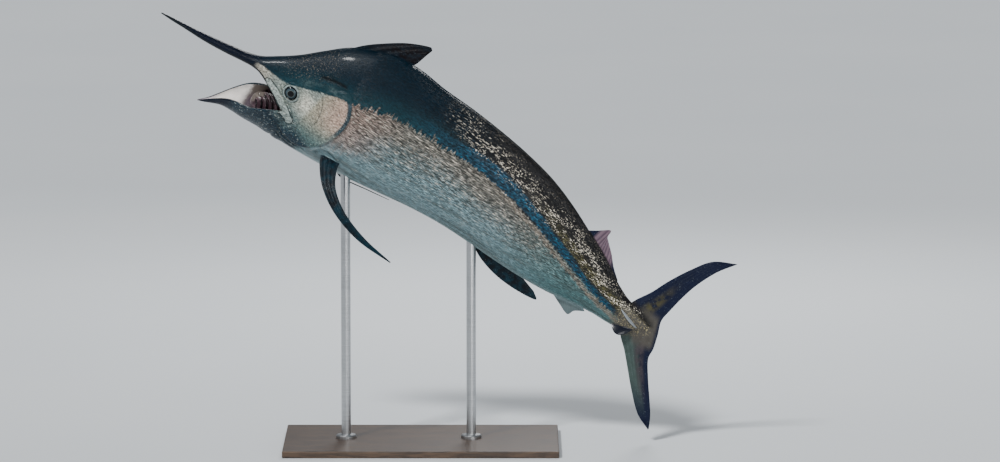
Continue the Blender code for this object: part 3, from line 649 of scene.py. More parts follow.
def cheek_plate(side):
    """The long plate that edges the mouth's corner, lying on the head's side."""
    line = smooth_line(CHEEK_PLATE_LINE, 60)
    run = np.gradient(line, axis=0)
    run /= np.linalg.norm(run, axis=1, keepdims=True)
    t = np.linspace(0.0, 1.0, 60)
    round_end = np.sqrt(np.clip(1 - (1.25 * t - 0.35) ** 2, 0.0, 1.0))
    swell = np.where(t > 0.28, round_end, 0.35 + 0.65 * t / 0.28)[:, None]
    turn = 2 * math.pi * np.arange(28)[None, :] / 28
    reach = CHEEK_PLATE_HALF_HEIGHT * swell * np.cos(turn)
    along = line[:, :1] - run[:, 1:] * reach
    up = line[:, 1:] + run[:, :1] * reach
    depth = CHEEK_PLATE_THICKNESS * swell * np.sin(turn) / 2
    left = surface_left(along, up) + depth
    return tube("plate", place(np.stack((along, up, side * left), axis=-1)), SLOT_SKIN)


def gill_slits(along, up, left):
    """1 in the dark slits between the gill arches at the back of the mouth, 0 on the arches."""
    slant = along - 0.55 * np.abs(left) + 0.45 * (up + 0.12) + 0.006 * np.sin(95 * left)
    wave = 0.5 + 0.5 * np.cos(2 * math.pi * (slant - 0.712) / GILL_ARCH_STEP)
    broken = 0.30 * np.sin(150 * along + 60 * up) * np.sin(120 * left + 1.3)
    middle = smooth(0.006, 0.020, np.abs(left))
    return smooth(0.55, 0.85, wave + broken) * middle * smooth(0.700, 0.722, along)


def gill_basket():
    """The pink gill arches and their slits, which rise from the floor of the throat."""
    segments, rings = 150, 220
    turn = 2 * math.pi * np.arange(segments)[None, :] / segments
    tilt = math.pi * np.arange(1, rings)[:, None] / rings
    along = GILL_BASKET[0][0] - GILL_BASKET[1][0] * np.cos(tilt) + 0 * turn
    ring_up, ring_left = np.sin(turn) * np.sin(tilt) ** 0.8, np.cos(turn) * np.sin(tilt) ** 0.8
    up = GILL_BASKET[0][1] + GILL_BASKET[1][1] * ring_up
    left = GILL_BASKET[1][2] * ring_left
    sink = gill_slits(along, up, left) * GILL_SLIT_DEPTH
    up, left = up - sink * ring_up, left - sink * ring_left
    return tube("basket", place(np.stack((along, up, left), axis=-1)), SLOT_MOUTH)


GILL_EDGE = rounded(GILL_OUTLINE)
SLOTS = (
    "skin", "mouth", "first_dorsal", "second_dorsal", "dark_fin", "pale_fin", "tail_upper",
    "tail_lower", "keel",
)
(
    SLOT_SKIN, SLOT_MOUTH, SLOT_FIRST_DORSAL, SLOT_SECOND_DORSAL, SLOT_DARK_FIN, SLOT_PALE_FIN,
    SLOT_TAIL_UPPER, SLOT_TAIL_LOWER, SLOT_KEEL,
) = range(len(SLOTS))
FIN_PLACES = []


def procedural(name):
    made = bpy.data.materials.new(name)
    made.use_nodes = True
    return made


SKIN_LOOKS = [procedural("marlin_" + name) for name in SLOTS]


def body_places():
    """Distances along the fish where the head's and the trunk's rings stand."""
    ahead = np.concatenate(
        ([0.0, 0.004, 0.012], np.arange(0.03, 0.60, 0.010), np.arange(0.60, 0.903, HEAD_RING_STEP))
    )
    head = np.arange(0.906, 1.358, HEAD_RING_STEP)
    trunk = np.append(np.arange(1.362, 3.355, TRUNK_RING_STEP), STALK_END)
    return np.append(ahead, 0.9045), np.concatenate((head, trunk))


def build_jaw():
    places = np.concatenate(([0.452, 0.456, 0.462, 0.470, 0.480], np.arange(0.49, 1.0, 0.005)))
    grid = jaw_grid(places, JAW_SIDES)
    jaw = trough("jaw", place(grid), SLOT_SKIN)
    columns = grid.shape[1]
    for polygon in jaw.data.polygons:
        inside = [v % columns > JAW_SIDES for v in polygon.vertices]
        if all(inside):
            polygon.material_index = SLOT_MOUTH
    return jaw


def build_fins():
    """Every fin and keel as a closed solid with its own look."""
    fins = [
        ray_fin("first_dorsal", dorsal_line(FIRST_DORSAL_FRONT), dorsal_line(FIRST_DORSAL_REAR),
                FIRST_DORSAL_MAKE, 0.30, SLOT_FIRST_DORSAL),
        long_fin("second_dorsal", dorsal_line(SECOND_DORSAL_BASE), dorsal_line(SECOND_DORSAL_EDGE),
                 SECOND_DORSAL_MAKE, 0.45, SLOT_SECOND_DORSAL),
        long_fin("first_anal", belly_line(FIRST_ANAL_BASE), belly_line(FIRST_ANAL_EDGE),
                 FIRST_ANAL_MAKE, 0.30, SLOT_DARK_FIN),
        long_fin("second_anal", belly_line(SECOND_ANAL_BASE), belly_line(SECOND_ANAL_EDGE),
                 SECOND_ANAL_MAKE, 0.30, SLOT_PALE_FIN),
        ray_fin("tail_upper", flat_line(UPPER_LEADING), flat_line(UPPER_TRAILING), TAIL_MAKE,
                0.12, SLOT_TAIL_UPPER),
        ray_fin("tail_lower", flat_line(LOWER_LEADING), flat_line(LOWER_TRAILING), TAIL_MAKE,
                0.12, SLOT_TAIL_LOWER),
    ]
    for side in (1, -1):
        fins.append(ray_fin("pectoral", PECTORAL_FRONT, PECTORAL_REAR, PECTORAL_MAKE, 0.11,
                            SLOT_DARK_FIN, side))
        fins.append(ray_fin("pelvic", PELVIC_FRONT, PELVIC_REAR, PELVIC_MAKE, 0.2,
                            SLOT_DARK_FIN, side))
        for ends in KEELS.values():
            fins.append(keel_tube(ends, side))
    return fins


def build_skin():
    """The whole fish but its eyes, as one closed skin."""
    ahead, rear = body_places()
    grids = (
        body_grid(ahead, RING_OVER, RING_UNDER, True), body_grid(rear, RING_OVER, RING_UNDER),
    )
    skin = tube("skin", swelled(np.concatenate(grids)), SLOT_SKIN)
    slots = np.zeros(len(skin.data.polygons), np.int32)
    for row in np.flatnonzero(ahead > PALATE_LINING_FROM)[:-1]:
        first = row * (RING_OVER + RING_UNDER) + RING_OVER
        slots[first : first + RING_UNDER] = SLOT_MOUTH
    skin.data.polygons.foreach_set("material_index", slots)
    for side in (1, -1):
        boolean(skin, cheek_plate(side), "UNION")
    boolean(skin, build_jaw(), "UNION")
    boolean(skin, ball("hollow", *MOUTH_HOLLOW, 64, 40, SLOT_MOUTH), "DIFFERENCE")
    boolean(skin, gill_basket(), "UNION")
    for fin in build_fins():
        boolean(skin, fin, "UNION")
    return skin


class Nodes:
    """Short calls that add shader nodes to one material."""

    def __init__(self, material):
        self.tree = material.node_tree
        self.shader = self.tree.nodes["Principled BSDF"]
        self.kept = {}

    def add(self, kind, inputs, **settings):
        node = self.tree.nodes.new(kind)
        for key, value in settings.items():
            setattr(node, key, value)
        for key, value in inputs.items():
            if hasattr(value, "is_output"):
                self.tree.links.new(value, node.inputs[key])
            elif value is not None:
                node.inputs[key].default_value = value
        return node

    def attribute(self, name, output="Fac"):
        key = (name, output)
        if key not in self.kept:
            node = self.add("ShaderNodeAttribute", {}, attribute_name=name)
            self.kept[key] = node.outputs[output]
        return self.kept[key]

    def fish(self, axis=None):
        """The place on the fish: along, up, left, or all three."""
        if axis is None:
            return self.attribute("fish", "Vector")
        if ("axis", axis) not in self.kept:
            split = self.add("ShaderNodeSeparateXYZ", {0: self.fish()})
            for i in range(3):
                self.kept[("axis", i)] = split.outputs[i]
        return self.kept[("axis", axis)]

    def math(self, operation, one, two=0.0):
        return self.add("ShaderNodeMath", {0: one, 1: two}, operation=operation).outputs[0]

    def plus(self, total, *others):
        for other in others:
            total = self.math("ADD", total, other)
        return total

    def minus(self, one, two):
        return self.math("SUBTRACT", one, two)

    def times(self, total, *others):
        for other in others:
            total = self.math("MULTIPLY", total, other)
        return total

    def wavy(self, value, noise, reach):
        """A value shifted to and fro by a noise, so that an edge drawn from it isn't straight."""
        return self.plus(value, self.times(self.minus(noise, 0.5), reach))

    def step(self, value, low, high, start=0.0, end=1.0):
        """A smooth change from start to end as the value goes from low to high."""
        inputs = {"Value": value, "From Min": low, "From Max": high, "To Min": start, "To Max": end}
        if low > high:
            inputs.update({"From Min": high, "From Max": low, "To Min": end, "To Max": start})
        node = self.add("ShaderNodeMapRange", inputs, interpolation_type="SMOOTHSTEP")
        return node.outputs["Result"]

    def band(self, value, low, high, soft):
        """1 between low and high, with soft ends."""
        rise = self.step(value, low - soft, low + soft)
        return self.times(rise, self.step(value, high - soft, high + soft, 1.0, 0.0))

    def mix(self, share, one, two):
        """A blend of two colours."""
        inputs = {0: share, 6: colour(one), 7: colour(two)}
        return self.add("ShaderNodeMix", inputs, data_type="RGBA").outputs[2]

    def lit(self, tone, share):
        """A colour made lighter or darker by a share of itself."""
        inputs = {0: tone, "Scale": share}
        return self.add("ShaderNodeVectorMath", inputs, operation="SCALE").outputs[0]

    def scaled(self, vector, x, y, z):
        inputs = {0: vector, 1: (x, y, z)}
        return self.add("ShaderNodeVectorMath", inputs, operation="MULTIPLY").outputs[0]

    def stretched(self, x, y, z):
        return self.scaled(self.fish(), x, y, z)

    def own_place(self):
        return self.add("ShaderNodeTexCoord", {}).outputs["Object"]

    def noise(self, vector, scale, detail=2.0, roughness=0.5, distortion=0.0):
        inputs = {
            "Vector": vector, "Scale": scale, "Detail": detail, "Roughness": roughness,
            "Distortion": distortion,
        }
        return self.add("ShaderNodeTexNoise", inputs).outputs[0]

    def bumped(self, height, distance):
        node = self.add("ShaderNodeBump", {"Height": height, "Distance": distance})
        node.inputs["Strength"].default_value = 1.0
        self.tree.links.new(node.outputs[0], self.shader.inputs["Normal"])

    def finish(self, tone, roughness, coat=0.0, coat_roughness=0.1, specular=0.5, metallic=0.0):
        for key, value in (("Base Color", tone), ("Roughness", roughness)):
            self.tree.links.new(value, self.shader.inputs[key])
        self.shader.inputs["Coat Weight"].default_value = coat
        self.shader.inputs["Coat Roughness"].default_value = coat_roughness
        self.shader.inputs["Specular IOR Level"].default_value = specular
        self.shader.inputs["Metallic"].default_value = metallic


def colour(value):
    return value if hasattr(value, "is_output") or len(value) == 4 else (*value, 1.0)


# Colours of the fish, as linear values
BACK_FRONT = (0.0016, 0.0098, 0.018)
BACK_TEAL = (0.0065, 0.034, 0.045)
BACK_BROWN = (0.0085, 0.0085, 0.0095)
BILL_NAVY = (0.0012, 0.0045, 0.014)
COBALT = (0.009, 0.056, 0.098)
COPPER = (0.2, 0.145, 0.105)
FLANK_WARM = (0.135, 0.128, 0.112)
FLANK_COOL = (0.155, 0.245, 0.27)
FLANK_PINK = (0.26, 0.175, 0.145)
FLANK_DASH = (0.4, 0.365, 0.305)
FLANK_OLIVE = (0.042, 0.047, 0.04)
FLANK_REAR = (0.052, 0.145, 0.155)
BELLY = (0.205, 0.285, 0.295)
# Painted highlight on the cheek behind the eye
CHEEK_HIGHLIGHT = (0.62, 0.6, 0.5)
CHEEK_GREY = (0.25, 0.285, 0.255)
CHEEK_GREEN = (0.09, 0.15, 0.145)
GILL_BEIGE = (0.3, 0.28, 0.21)
GILL_PINK = (0.47, 0.315, 0.25)
UNDER_BILL = (0.38, 0.355, 0.295)
JAW_SLATE = (0.004, 0.02, 0.034)
JAW_STREAK = (0.08, 0.13, 0.15)
# Painted glints: sun glints on the wet back and scales
GOLD_GLINT = (1.0, 0.92, 0.76)
IVORY = (0.92, 0.88, 0.83)
JAW_RIM_MAUVE = (0.3, 0.25, 0.33)
LINING_BROWN = (0.15, 0.125, 0.108)
ARCH_MAUVE = (0.042, 0.02, 0.027)
# Painted shade in the gill slits and the back of the mouth
SLIT_AND_THROAT_SHADE = (0.004, 0.0012, 0.0026)
FIN_BLACK = (0.0014, 0.0045, 0.0085)
# Painted sheen on the dark fins
FIN_TEAL_SHEEN = (0.0022, 0.02, 0.032)
DORSAL_MAROON = (0.0045, 0.0028, 0.0045)
MEMBRANE_MAUVE = (0.19, 0.13, 0.16)
FIN_NAVY = (0.0045, 0.008, 0.028)
TAIL_OLIVE = (0.065, 0.058, 0.026)
TAIL_GREEN = (0.065, 0.095, 0.085)
TAIL_BASE = (0.075, 0.068, 0.058)
TAIL_MAUVE = (0.048, 0.04, 0.046)
OLIVE_GOLD = (0.09, 0.082, 0.033)
ANAL_GREY = (0.115, 0.155, 0.16)
GILL_EDGE_TEAL = (0.006, 0.03, 0.048)
# Painted shade in the head's folds
FOLD_SHADE = (0.025, 0.033, 0.03)
PLATE_SHADE = (0.095, 0.135, 0.135)
PLATE_PALE = (0.36, 0.42, 0.39)
PLATE_OUTLINE = (0.01, 0.018, 0.02)
SOCKET_PALE = (0.18, 0.21, 0.18)
LID_PALE = (0.23, 0.28, 0.27)
# Painted shade at the lid's inner edge
LID_EDGE_SHADE = (0.008, 0.012, 0.014)
# Painted shade in the crease round the eye
LID_CREASE_SHADE = (0.03, 0.045, 0.045)
# Painted glints on the wet head
HEAD_GLINT = (0.8, 0.81, 0.72)
LIP_DARK = (0.006, 0.01, 0.014)
TEMPLE_PALE = (0.07, 0.11, 0.11)
# Painted shade in the nape's crease
NAPE_CREASE_SHADE = (0.001, 0.002, 0.003)
# Painted glints: duller sun glints on the back and brow
BACK_GLINT = (0.36, 0.3, 0.23)
TAIL_FLECK = (0.42, 0.36, 0.2)
ARCH_PALE = (0.2, 0.13, 0.15)
MOUTH_FLOOR = (0.16, 0.13, 0.16)
FIN_FLECK = (0.22, 0.27, 0.3)
FIN_REAR = (0.012, 0.02, 0.026)
DORSAL_DARK = (0.006, 0.01, 0.016)
DORSAL_EDGE = (0.008, 0.01, 0.014)
MEMBRANE_DARK = (0.04, 0.022, 0.048)
ANAL_TIP = (0.08, 0.11, 0.12)
# Painted highlight along the upper keel
KEEL_HIGHLIGHT = (0.42, 0.47, 0.52)
# The lower keel's own dark tone with painted shade of the notch
KEEL_NOTCH_SHADE = (0.003, 0.005, 0.013)
# Painted shade of the lid over the eyeball's rim
EYEBALL_LID_SHADE = (0.004, 0.007, 0.009)
IRIS = (0.048, 0.076, 0.09)
IRIS_RIM = (0.2, 0.21, 0.17)
PUPIL = (0.0012, 0.0016, 0.0024)


def back_tone(n, edge, streak, broad):
    """The dark back: navy bill, teal head and shoulder, brown-black behind, cobalt stripe."""
    a = n.fish(0)
    tone = n.mix(n.step(edge, 0.0, 0.15), BACK_TEAL, BACK_FRONT)
    tone = n.mix(n.step(a, 1.50, 2.20), tone, BACK_BROWN)
    tone = n.mix(n.step(a, 0.86, 0.55), tone, BILL_NAVY)
    tone = n.lit(tone, n.plus(0.35, n.times(streak, 0.7), n.times(broad, 0.6)))
    wavy = n.wavy(edge, broad, 0.05)
    top = n.step(a, 2.05, 3.10, 0.078, 0.034)
    low = n.step(n.wavy(wavy, streak, 0.03), -0.004, 0.010)
    high = n.step(n.minus(wavy, top), 0.008, -0.008)
    stripe = n.times(low, high, n.step(a, 1.40, 2.00), n.step(a, 3.22, 3.06))
    olive = n.times(n.band(n.minus(edge, top), 0.0, 0.055, 0.015), n.step(a, 2.25, 2.80))
    tone = n.mix(n.times(olive, n.step(streak, 0.42, 0.62, 0.10, 0.85)), tone, OLIVE_GOLD)
    blue = n.lit(COBALT, n.step(streak, 0.35, 0.65, 0.35, 1.45))
    blue = n.lit(blue, n.step(a, 2.3, 2.8, 1.0, 0.8))
    return n.mix(n.times(stripe, n.step(a, 1.8, 2.6, 0.62, 0.95)), tone, blue)


def flank_tone(n, edge, streak, broad):
    """The pale side: warm and dashed above, cooler and smoother below."""
    a = n.fish(0)
    low = n.step(n.wavy(edge, broad, 0.12), -0.05, -0.26)
    tone = n.mix(low, FLANK_WARM, FLANK_COOL)
    pink = n.times(n.step(a, 1.60, 1.28), n.band(edge, -0.30, 0.05, 0.07))
    tone = n.mix(n.times(pink, 0.75), tone, FLANK_PINK)
    tone = n.mix(n.step(a, 2.2, 2.9, 0.0, 0.85), tone, FLANK_REAR)
    bands = n.noise(n.stretched(1.6, 30.0, 30.0), 1.0, 2.0, 0.5)
    tone = n.mix(n.step(bands, 0.50, 0.66, 0.0, 0.45), tone, FLANK_OLIVE)
    line = n.times(n.band(edge, -0.032, -0.004, 0.010), n.step(a, 1.95, 2.55))
    tone = n.mix(n.times(line, 0.65), tone, COPPER)
    upper = n.step(n.attribute("rise"), -0.55, 0.05, 0.30, 1.0)
    upper = n.times(upper, n.step(a, 2.85, 2.25, 0.15, 1.0))
    tone = n.mix(n.times(n.step(streak, 0.50, 0.38, 0.0, 0.75), upper), tone, FLANK_OLIVE)
    tone = n.mix(n.times(n.step(streak, 0.53, 0.64, 0.0, 0.85), upper), tone, FLANK_DASH)
    return n.mix(n.step(n.attribute("rise"), -0.82, -0.99), tone, BELLY)


def head_tone(n, broad, fine):
    """The cheek with a painted highlight behind the eye, the gill cover, the dark slate jaw and
    throat, painted shade along the head's folds and painted glints of light.
    """
    a, u, gill = n.fish(0), n.fish(1), n.attribute("gill")
    # Painted highlight: a pale patch where light falls on the cheek behind the eye
    cheek_highlight = n.times(n.band(a, 0.935, 1.040, 0.055), n.band(u, 0.040, 0.135, 0.050))
    cheek_highlight = n.times(cheek_highlight, n.step(broad, 0.30, 0.52, 0.45, 1.0))
    tone = n.mix(n.step(u, 0.03, -0.10), n.mix(cheek_highlight, CHEEK_GREY, CHEEK_HIGHLIGHT), CHEEK_GREEN)
    tone = n.mix(n.step(a, 0.80, 0.66), tone, UNDER_BILL)
    cover = n.mix(n.step(u, 0.09, -0.10), GILL_BEIGE, CHEEK_GREEN)
    pink = n.times(n.step(a, 1.02, 1.20), n.step(u, -0.02, 0.14))
    cover = n.mix(n.times(pink, 0.85), cover, GILL_PINK)
    tone = n.mix(n.step(gill, 0.0, 0.035), tone, cover)
    slate = n.times(n.step(u, -0.042, -0.060), n.step(n.wavy(a, broad, 0.10), 0.98, 0.90))
    throat = n.step(n.wavy(u, broad, 0.09), -0.075, -0.150)
    throat = n.times(throat, n.step(a, 1.26, 1.10))
    dark = n.math("MAXIMUM", slate, throat)
    specks = n.noise(n.stretched(60.0, 110.0, 110.0), 1.0, 3.0, 0.65)
    jaw = n.mix(n.step(specks, 0.54, 0.66, 0.0, 0.55), JAW_SLATE, JAW_STREAK)
    tone = n.mix(n.times(dark, 0.99), tone, jaw)
    mottle = n.times(n.attribute("mottle"), n.step(specks, 0.58, 0.46))
    tone = n.mix(n.times(mottle, 0.95), tone, JAW_SLATE)
    rim = n.times(n.band(gill, -0.004, 0.024, 0.006), n.step(u, -0.03, 0.09))
    tone = n.mix(n.times(rim, n.step(a, 1.10, 1.19), 0.90), tone, GILL_EDGE_TEAL)
    # Painted shade along the head's folds and grooves
    line = n.step(n.attribute("folds"), 0.0, 1.0)
    tone = n.mix(n.times(line, 0.75), tone, FOLD_SHADE)
    tone = eye_rim_tone(n, plate_tone(n, tone, broad))
    # Painted glints: small pale specks of light on the wet head
    tone = n.mix(n.step(specks, 0.60, 0.69, 0.0, 0.60), tone, HEAD_GLINT)
    return n.lit(tone, n.plus(0.50, n.times(fine, 0.52), n.times(broad, 0.48)))


def plate_tone(n, tone, broad):
    """The pale plate at the mouth's corner, with its dark outline and shaded surroundings."""
    a, plate = n.fish(0), n.attribute("plate")
    shaded = n.times(n.step(plate, 0.085, 0.030), n.step(a, 0.70, 0.76))
    tone = n.mix(n.times(shaded, n.step(broad, 0.35, 0.60, 0.75, 0.35)), tone, PLATE_SHADE)
    tone = n.mix(n.step(plate, 0.0225, 0.0190, 0.0, 0.80), tone, PLATE_PALE)
    return n.mix(n.times(n.band(plate, 0.0225, 0.0290, 0.0025), 0.85), tone, PLATE_OUTLINE)


def eye_rim_tone(n, tone):
    """The pale socket, the lid with its inner edge painted dark as shade, and the crease round it
    painted as shade.
    """
    ring = n.attribute("ring")
    tone = n.mix(n.step(ring, 0.100, 0.060, 0.0, 0.55), tone, SOCKET_PALE)
    tone = n.mix(n.band(ring, 0.042, 0.052, 0.003), tone, LID_PALE)
    tone = n.mix(n.step(ring, 0.0425, 0.0395), tone, LID_EDGE_SHADE)
    return n.mix(n.times(n.band(ring, 0.0515, 0.0550, 0.0015), 0.8), tone, LID_CREASE_SHADE)


def head_lines(n, tone, edge, broad, grain):
    """The dark lip, the pale temple and the crease of the nape, painted dark as shade in the
    crease.
    """
    a = n.fish(0)
    lip = n.times(n.step(n.attribute("lip"), 0.010, 0.003), n.step(a, 0.86, 0.80))
    wide = n.times(n.step(n.attribute("lip"), 0.018, 0.010), n.step(a, 0.75, 0.70))
    lip = n.math("MAXIMUM", lip, wide)
    tone = n.mix(lip, tone, LIP_DARK)
    temple = n.times(n.band(edge, 0.004, 0.050, 0.012), n.band(a, 0.90, 1.16, 0.04))
    temple = n.times(temple, n.step(broad, 0.42, 0.60))
    tone = n.mix(n.times(temple, n.step(grain, 0.38, 0.60, 0.1, 0.8)), tone, TEMPLE_PALE)
    # Painted shade in the nape's crease
    crease = n.times(n.attribute("nape"), n.step(a, 0.93, 0.97))
    return n.mix(n.times(crease, 0.95), tone, NAPE_CREASE_SHADE)


def painted_glints(n, tone, edge, fleck):
    """Painted glints: bright flecks of painted sun glint along the upper flank's line, and duller
    painted glints behind it and over the eye.
    """
    a = n.fish(0)
    glint_gap = n.attribute("glint_gap")
    dense = n.times(n.step(glint_gap, 0.055, 0.008), n.step(a, 2.10, 2.70, 0.010, 0.055))
    sparkle = n.times(n.step(n.plus(fleck, dense), 0.600, 0.625), n.step(glint_gap, 0.080, 0.045))
    patch = n.noise(n.stretched(10.0, 24.0, 24.0), 1.0, 2.0, 0.6)
    patch = n.times(n.step(patch, 0.44, 0.54), n.step(a, 1.62, 1.95))
    patch = n.times(patch, n.step(edge, 0.036, 0.050))
    sparkle = n.times(sparkle, patch, 0.95)
    tone = n.mix(sparkle, tone, GOLD_GLINT)
    behind = n.times(n.step(a, 1.50, 2.20), n.step(edge, 0.060, 0.090))
    pale = n.times(n.step(fleck, 0.63, 0.68), behind)
    brow = n.times(n.band(a, 0.74, 1.02, 0.06), n.step(edge, 0.030, 0.060))
    pale = n.plus(pale, n.times(n.step(fleck, 0.60, 0.66), brow))
    return n.mix(n.times(pale, 0.60), tone, BACK_GLINT)


def skin_surface(n, streak, broad, fine):
    """Roughness, and the height for bump."""
    a = n.fish(0)
    pores = n.noise(n.fish(), 95.0, 4.0, 0.7)
    height = n.plus(n.times(streak, n.step(a, 0.9, 1.3, 0.15, 1.0)), n.times(fine, 0.35))
    height = n.plus(height, n.times(pores, n.step(a, 1.55, 1.20, 0.4, 2.6)))
    rough = n.plus(0.20, n.times(fine, 0.16), n.times(broad, 0.12))
    return rough, height


def body_tone(n):
    """The fish's markings. Returns colour, roughness and the height for bump."""
    a = n.fish(0)
    edge = n.attribute("edge")
    streak = n.noise(n.stretched(20.0, 150.0, 150.0), 1.0, 3.0, 0.55)
    broad = n.noise(n.stretched(4.0, 9.0, 9.0), 1.0, 3.0, 0.55)
    fine = n.noise(n.fish(), 330.0, 3.0, 0.6)
    ticks = n.noise(n.stretched(75.0, 14.0, 14.0), 1.0, 2.0, 0.55)
    grain = n.noise(n.stretched(62.0, 115.0, 115.0), 1.0, 4.0, 0.75)
    lines = n.noise(n.stretched(34.0, 165.0, 165.0), 1.0, 3.0, 0.65)
    reach = n.times(n.step(a, 1.10, 1.30), n.step(a, 2.1, 1.6, 0.30, 1.0))
    jagged = n.plus(edge, n.times(n.times(n.minus(ticks, 0.5), reach), 0.16))
    jagged = n.wavy(jagged, streak, 0.022)
    back = back_tone(n, edge, streak, broad)
    side = flank_tone(n, jagged, streak, broad)
    face = head_tone(n, broad, fine)
    on_head = n.step(n.attribute("gill"), -0.003, 0.003)
    on_head = n.math("MAXIMUM", on_head, n.step(a, 1.11, 1.05))
    dark_grain = n.step(n.attribute("rise"), -0.70, 0.0, 0.75, 0.40)
    light_grain = n.step(n.attribute("rise"), -0.70, 0.0, 1.25, 1.62)
    side = n.lit(side, n.step(lines, 0.37, 0.63, dark_grain, light_grain))
    face = n.lit(face, n.step(grain, 0.36, 0.64, 0.42, 1.58))
    side = n.mix(on_head, side, face)
    smooth_back = n.lit(back, n.step(grain, 0.36, 0.64, 0.70, 1.30))
    back = n.lit(back, n.step(grain, 0.36, 0.64, 0.35, 1.70))
    back = n.mix(n.step(a, 1.45, 1.85), smooth_back, back)
    above = n.step(jagged, -0.005, 0.006)
    above = n.math("MAXIMUM", above, n.step(a, 0.655, 0.600))
    tone = n.mix(above, side, back)
    tone = head_lines(n, tone, edge, broad, grain)
    fleck = n.noise(n.stretched(95.0, 170.0, 170.0), 1.0, 3.0, 0.65)
    # Painted glints of sun on the wet back and brow
    tone = painted_glints(n, tone, edge, fleck)
    root = n.step(n.wavy(a, broad, 0.10), 3.13, 3.24)
    speckled = n.mix(n.step(fleck, 0.56, 0.62), TAIL_BASE, TAIL_FLECK)
    tone = n.mix(n.times(root, n.step(n.attribute("rise"), 0.85, 0.45)), tone, speckled)
    return tone, *skin_surface(n, streak, broad, fine)


def skin_look(material):
    n = Nodes(material)
    tone, rough, height = body_tone(n)
    n.bumped(height, 0.0012)
    n.finish(tone, rough, coat=0.07, coat_roughness=0.10, specular=0.17)


def scale_look(material):
    """Scales carry the body's markings, each one a little lighter or darker, and some near the
    upper flank's line are painted bright as glints of light.
    """
    n = Nodes(material)
    tone, rough, height = body_tone(n)
    shade = n.attribute("shade")
    varied = n.plus(0.30, n.times(n.math("POWER", shade, 1.8), 1.9))
    even = n.plus(0.72, n.times(shade, 0.55))
    front = n.times(n.step(n.attribute("edge"), 0.0, 0.02), n.step(n.fish(0), 1.9, 1.5))
    low = n.step(n.attribute("rise"), -0.25, -0.75, 0.0, 0.6)
    calm = n.math("MAXIMUM", front, low)
    tone = n.lit(tone, n.plus(varied, n.times(calm, n.minus(even, varied))))
    # Painted glints: the brightest scales near the upper flank's line take a glint colour
    bright = n.times(n.step(shade, 0.93, 0.95), n.step(n.attribute("glint_gap"), 0.060, 0.020))
    bright = n.times(bright, n.step(n.fish(0), 1.62, 1.95))
    bright = n.times(bright, n.step(n.attribute("edge"), 0.036, 0.050))
    tone = n.mix(n.times(bright, 0.9), tone, GOLD_GLINT)
    n.bumped(height, 0.0006)
    n.finish(tone, rough, coat=0.12, coat_roughness=0.10, specular=0.22)


def mouth_look(material):
    n = Nodes(material)
    a, u = n.fish(0), n.fish(1)
    aside = n.math("ABSOLUTE", n.fish(2))
    broad = n.noise(n.fish(), 28.0, 4.0, 0.6)
    fine = n.noise(n.fish(), 190.0, 3.0, 0.6)
    wavy = n.wavy(a, broad, 0.05)
    tone = n.mix(n.step(wavy, 0.665, 0.690), IVORY, LINING_BROWN)
    tone = n.mix(n.step(a, 0.58, 0.47, 0.0, 0.75), tone, JAW_RIM_MAUVE)
    arches = n.times(n.step(aside, 0.084, 0.076), n.step(a, 0.690, 0.702))
    arches = n.times(arches, n.step(u, -0.032, -0.042))
    slant = n.minus(n.plus(u, 0.165), n.times(n.minus(wavy, 0.70), 1.69))
    arches = n.times(arches, n.step(slant, 0.014, -0.008))
    pale = n.mix(n.step(broad, 0.46, 0.70), ARCH_MAUVE, ARCH_PALE)
    # Painted shade: the slits between the gill arches are painted near black as shade in their
    # grooves
    cut = n.wavy(n.attribute("slit"), broad, 1.6)
    pale = n.mix(n.step(cut, 0.15, 0.75), pale, SLIT_AND_THROAT_SHADE)
    tone = n.mix(arches, tone, pale)
    # Painted shadow: the back of the mouth under the upper jaw is painted dark as its cast shadow
    mouth_shadow = n.times(n.step(a, 0.72, 0.84), n.step(u, -0.13, -0.05))
    tone = n.mix(n.times(mouth_shadow, 0.85), tone, SLIT_AND_THROAT_SHADE)
    floor = n.times(n.step(a, 0.64, 0.70), n.step(u, -0.10, -0.20))
    tone = n.mix(n.times(floor, 0.6), tone, MOUTH_FLOOR)
    tone = n.lit(tone, n.plus(0.62, n.times(fine, 0.35), n.times(broad, 0.45)))
    n.bumped(n.plus(broad, n.times(fine, 0.5)), 0.0022)
    n.finish(tone, n.plus(0.22, n.times(fine, 0.25)), coat=0.20, coat_roughness=0.08, specular=0.25)


def rays(n, count):
    """Fine ray lines that fan from a fin's root to its tip."""
    s = n.attribute("fin_across")
    wave = n.math("SINE", n.times(s, 2 * math.pi * count))
    return n.plus(0.5, n.times(wave, 0.5))


def fin_look(material, tint):
    """A fin: the body's skin at its root, then its own colours with the rays."""
    n = Nodes(material)
    body, rough, _ = body_tone(n)
    out, across = n.attribute("fin_out"), n.attribute("fin_across")
    blotch = n.noise(n.fish(), 24.0, 3.0, 0.6)
    tone, count, start, full = tint(n, out, across, blotch)
    ray = rays(n, count)
    tone = n.lit(tone, n.plus(0.60, n.times(ray, 0.14), n.times(blotch, 0.70)))
    spots = n.noise(n.stretched(140.0, 140.0, 140.0), 1.0, 3.0, 0.65)
    tone = n.mix(n.step(spots, 0.63, 0.70, 0.0, 0.45), tone, FIN_FLECK)
    share = n.step(n.attribute("fin_gap"), start, full)
    tone = n.mix(share, body, tone)
    n.bumped(n.plus(n.times(ray, 0.35), n.times(spots, 0.8)), 0.0012)
    n.finish(tone, n.plus(rough, 0.06), coat=0.05, coat_roughness=0.12, specular=0.15)


def dark_fin_tint(n, out, across, blotch):
    # Painted sheen: teal blotches on the black fin stand for its sheen of light
    tone = n.mix(n.step(blotch, 0.38, 0.66), FIN_BLACK, FIN_TEAL_SHEEN)
    return n.mix(n.step(across, 0.75, 1.0, 0.0, 0.5), tone, FIN_REAR), 26, 0.000, 0.006


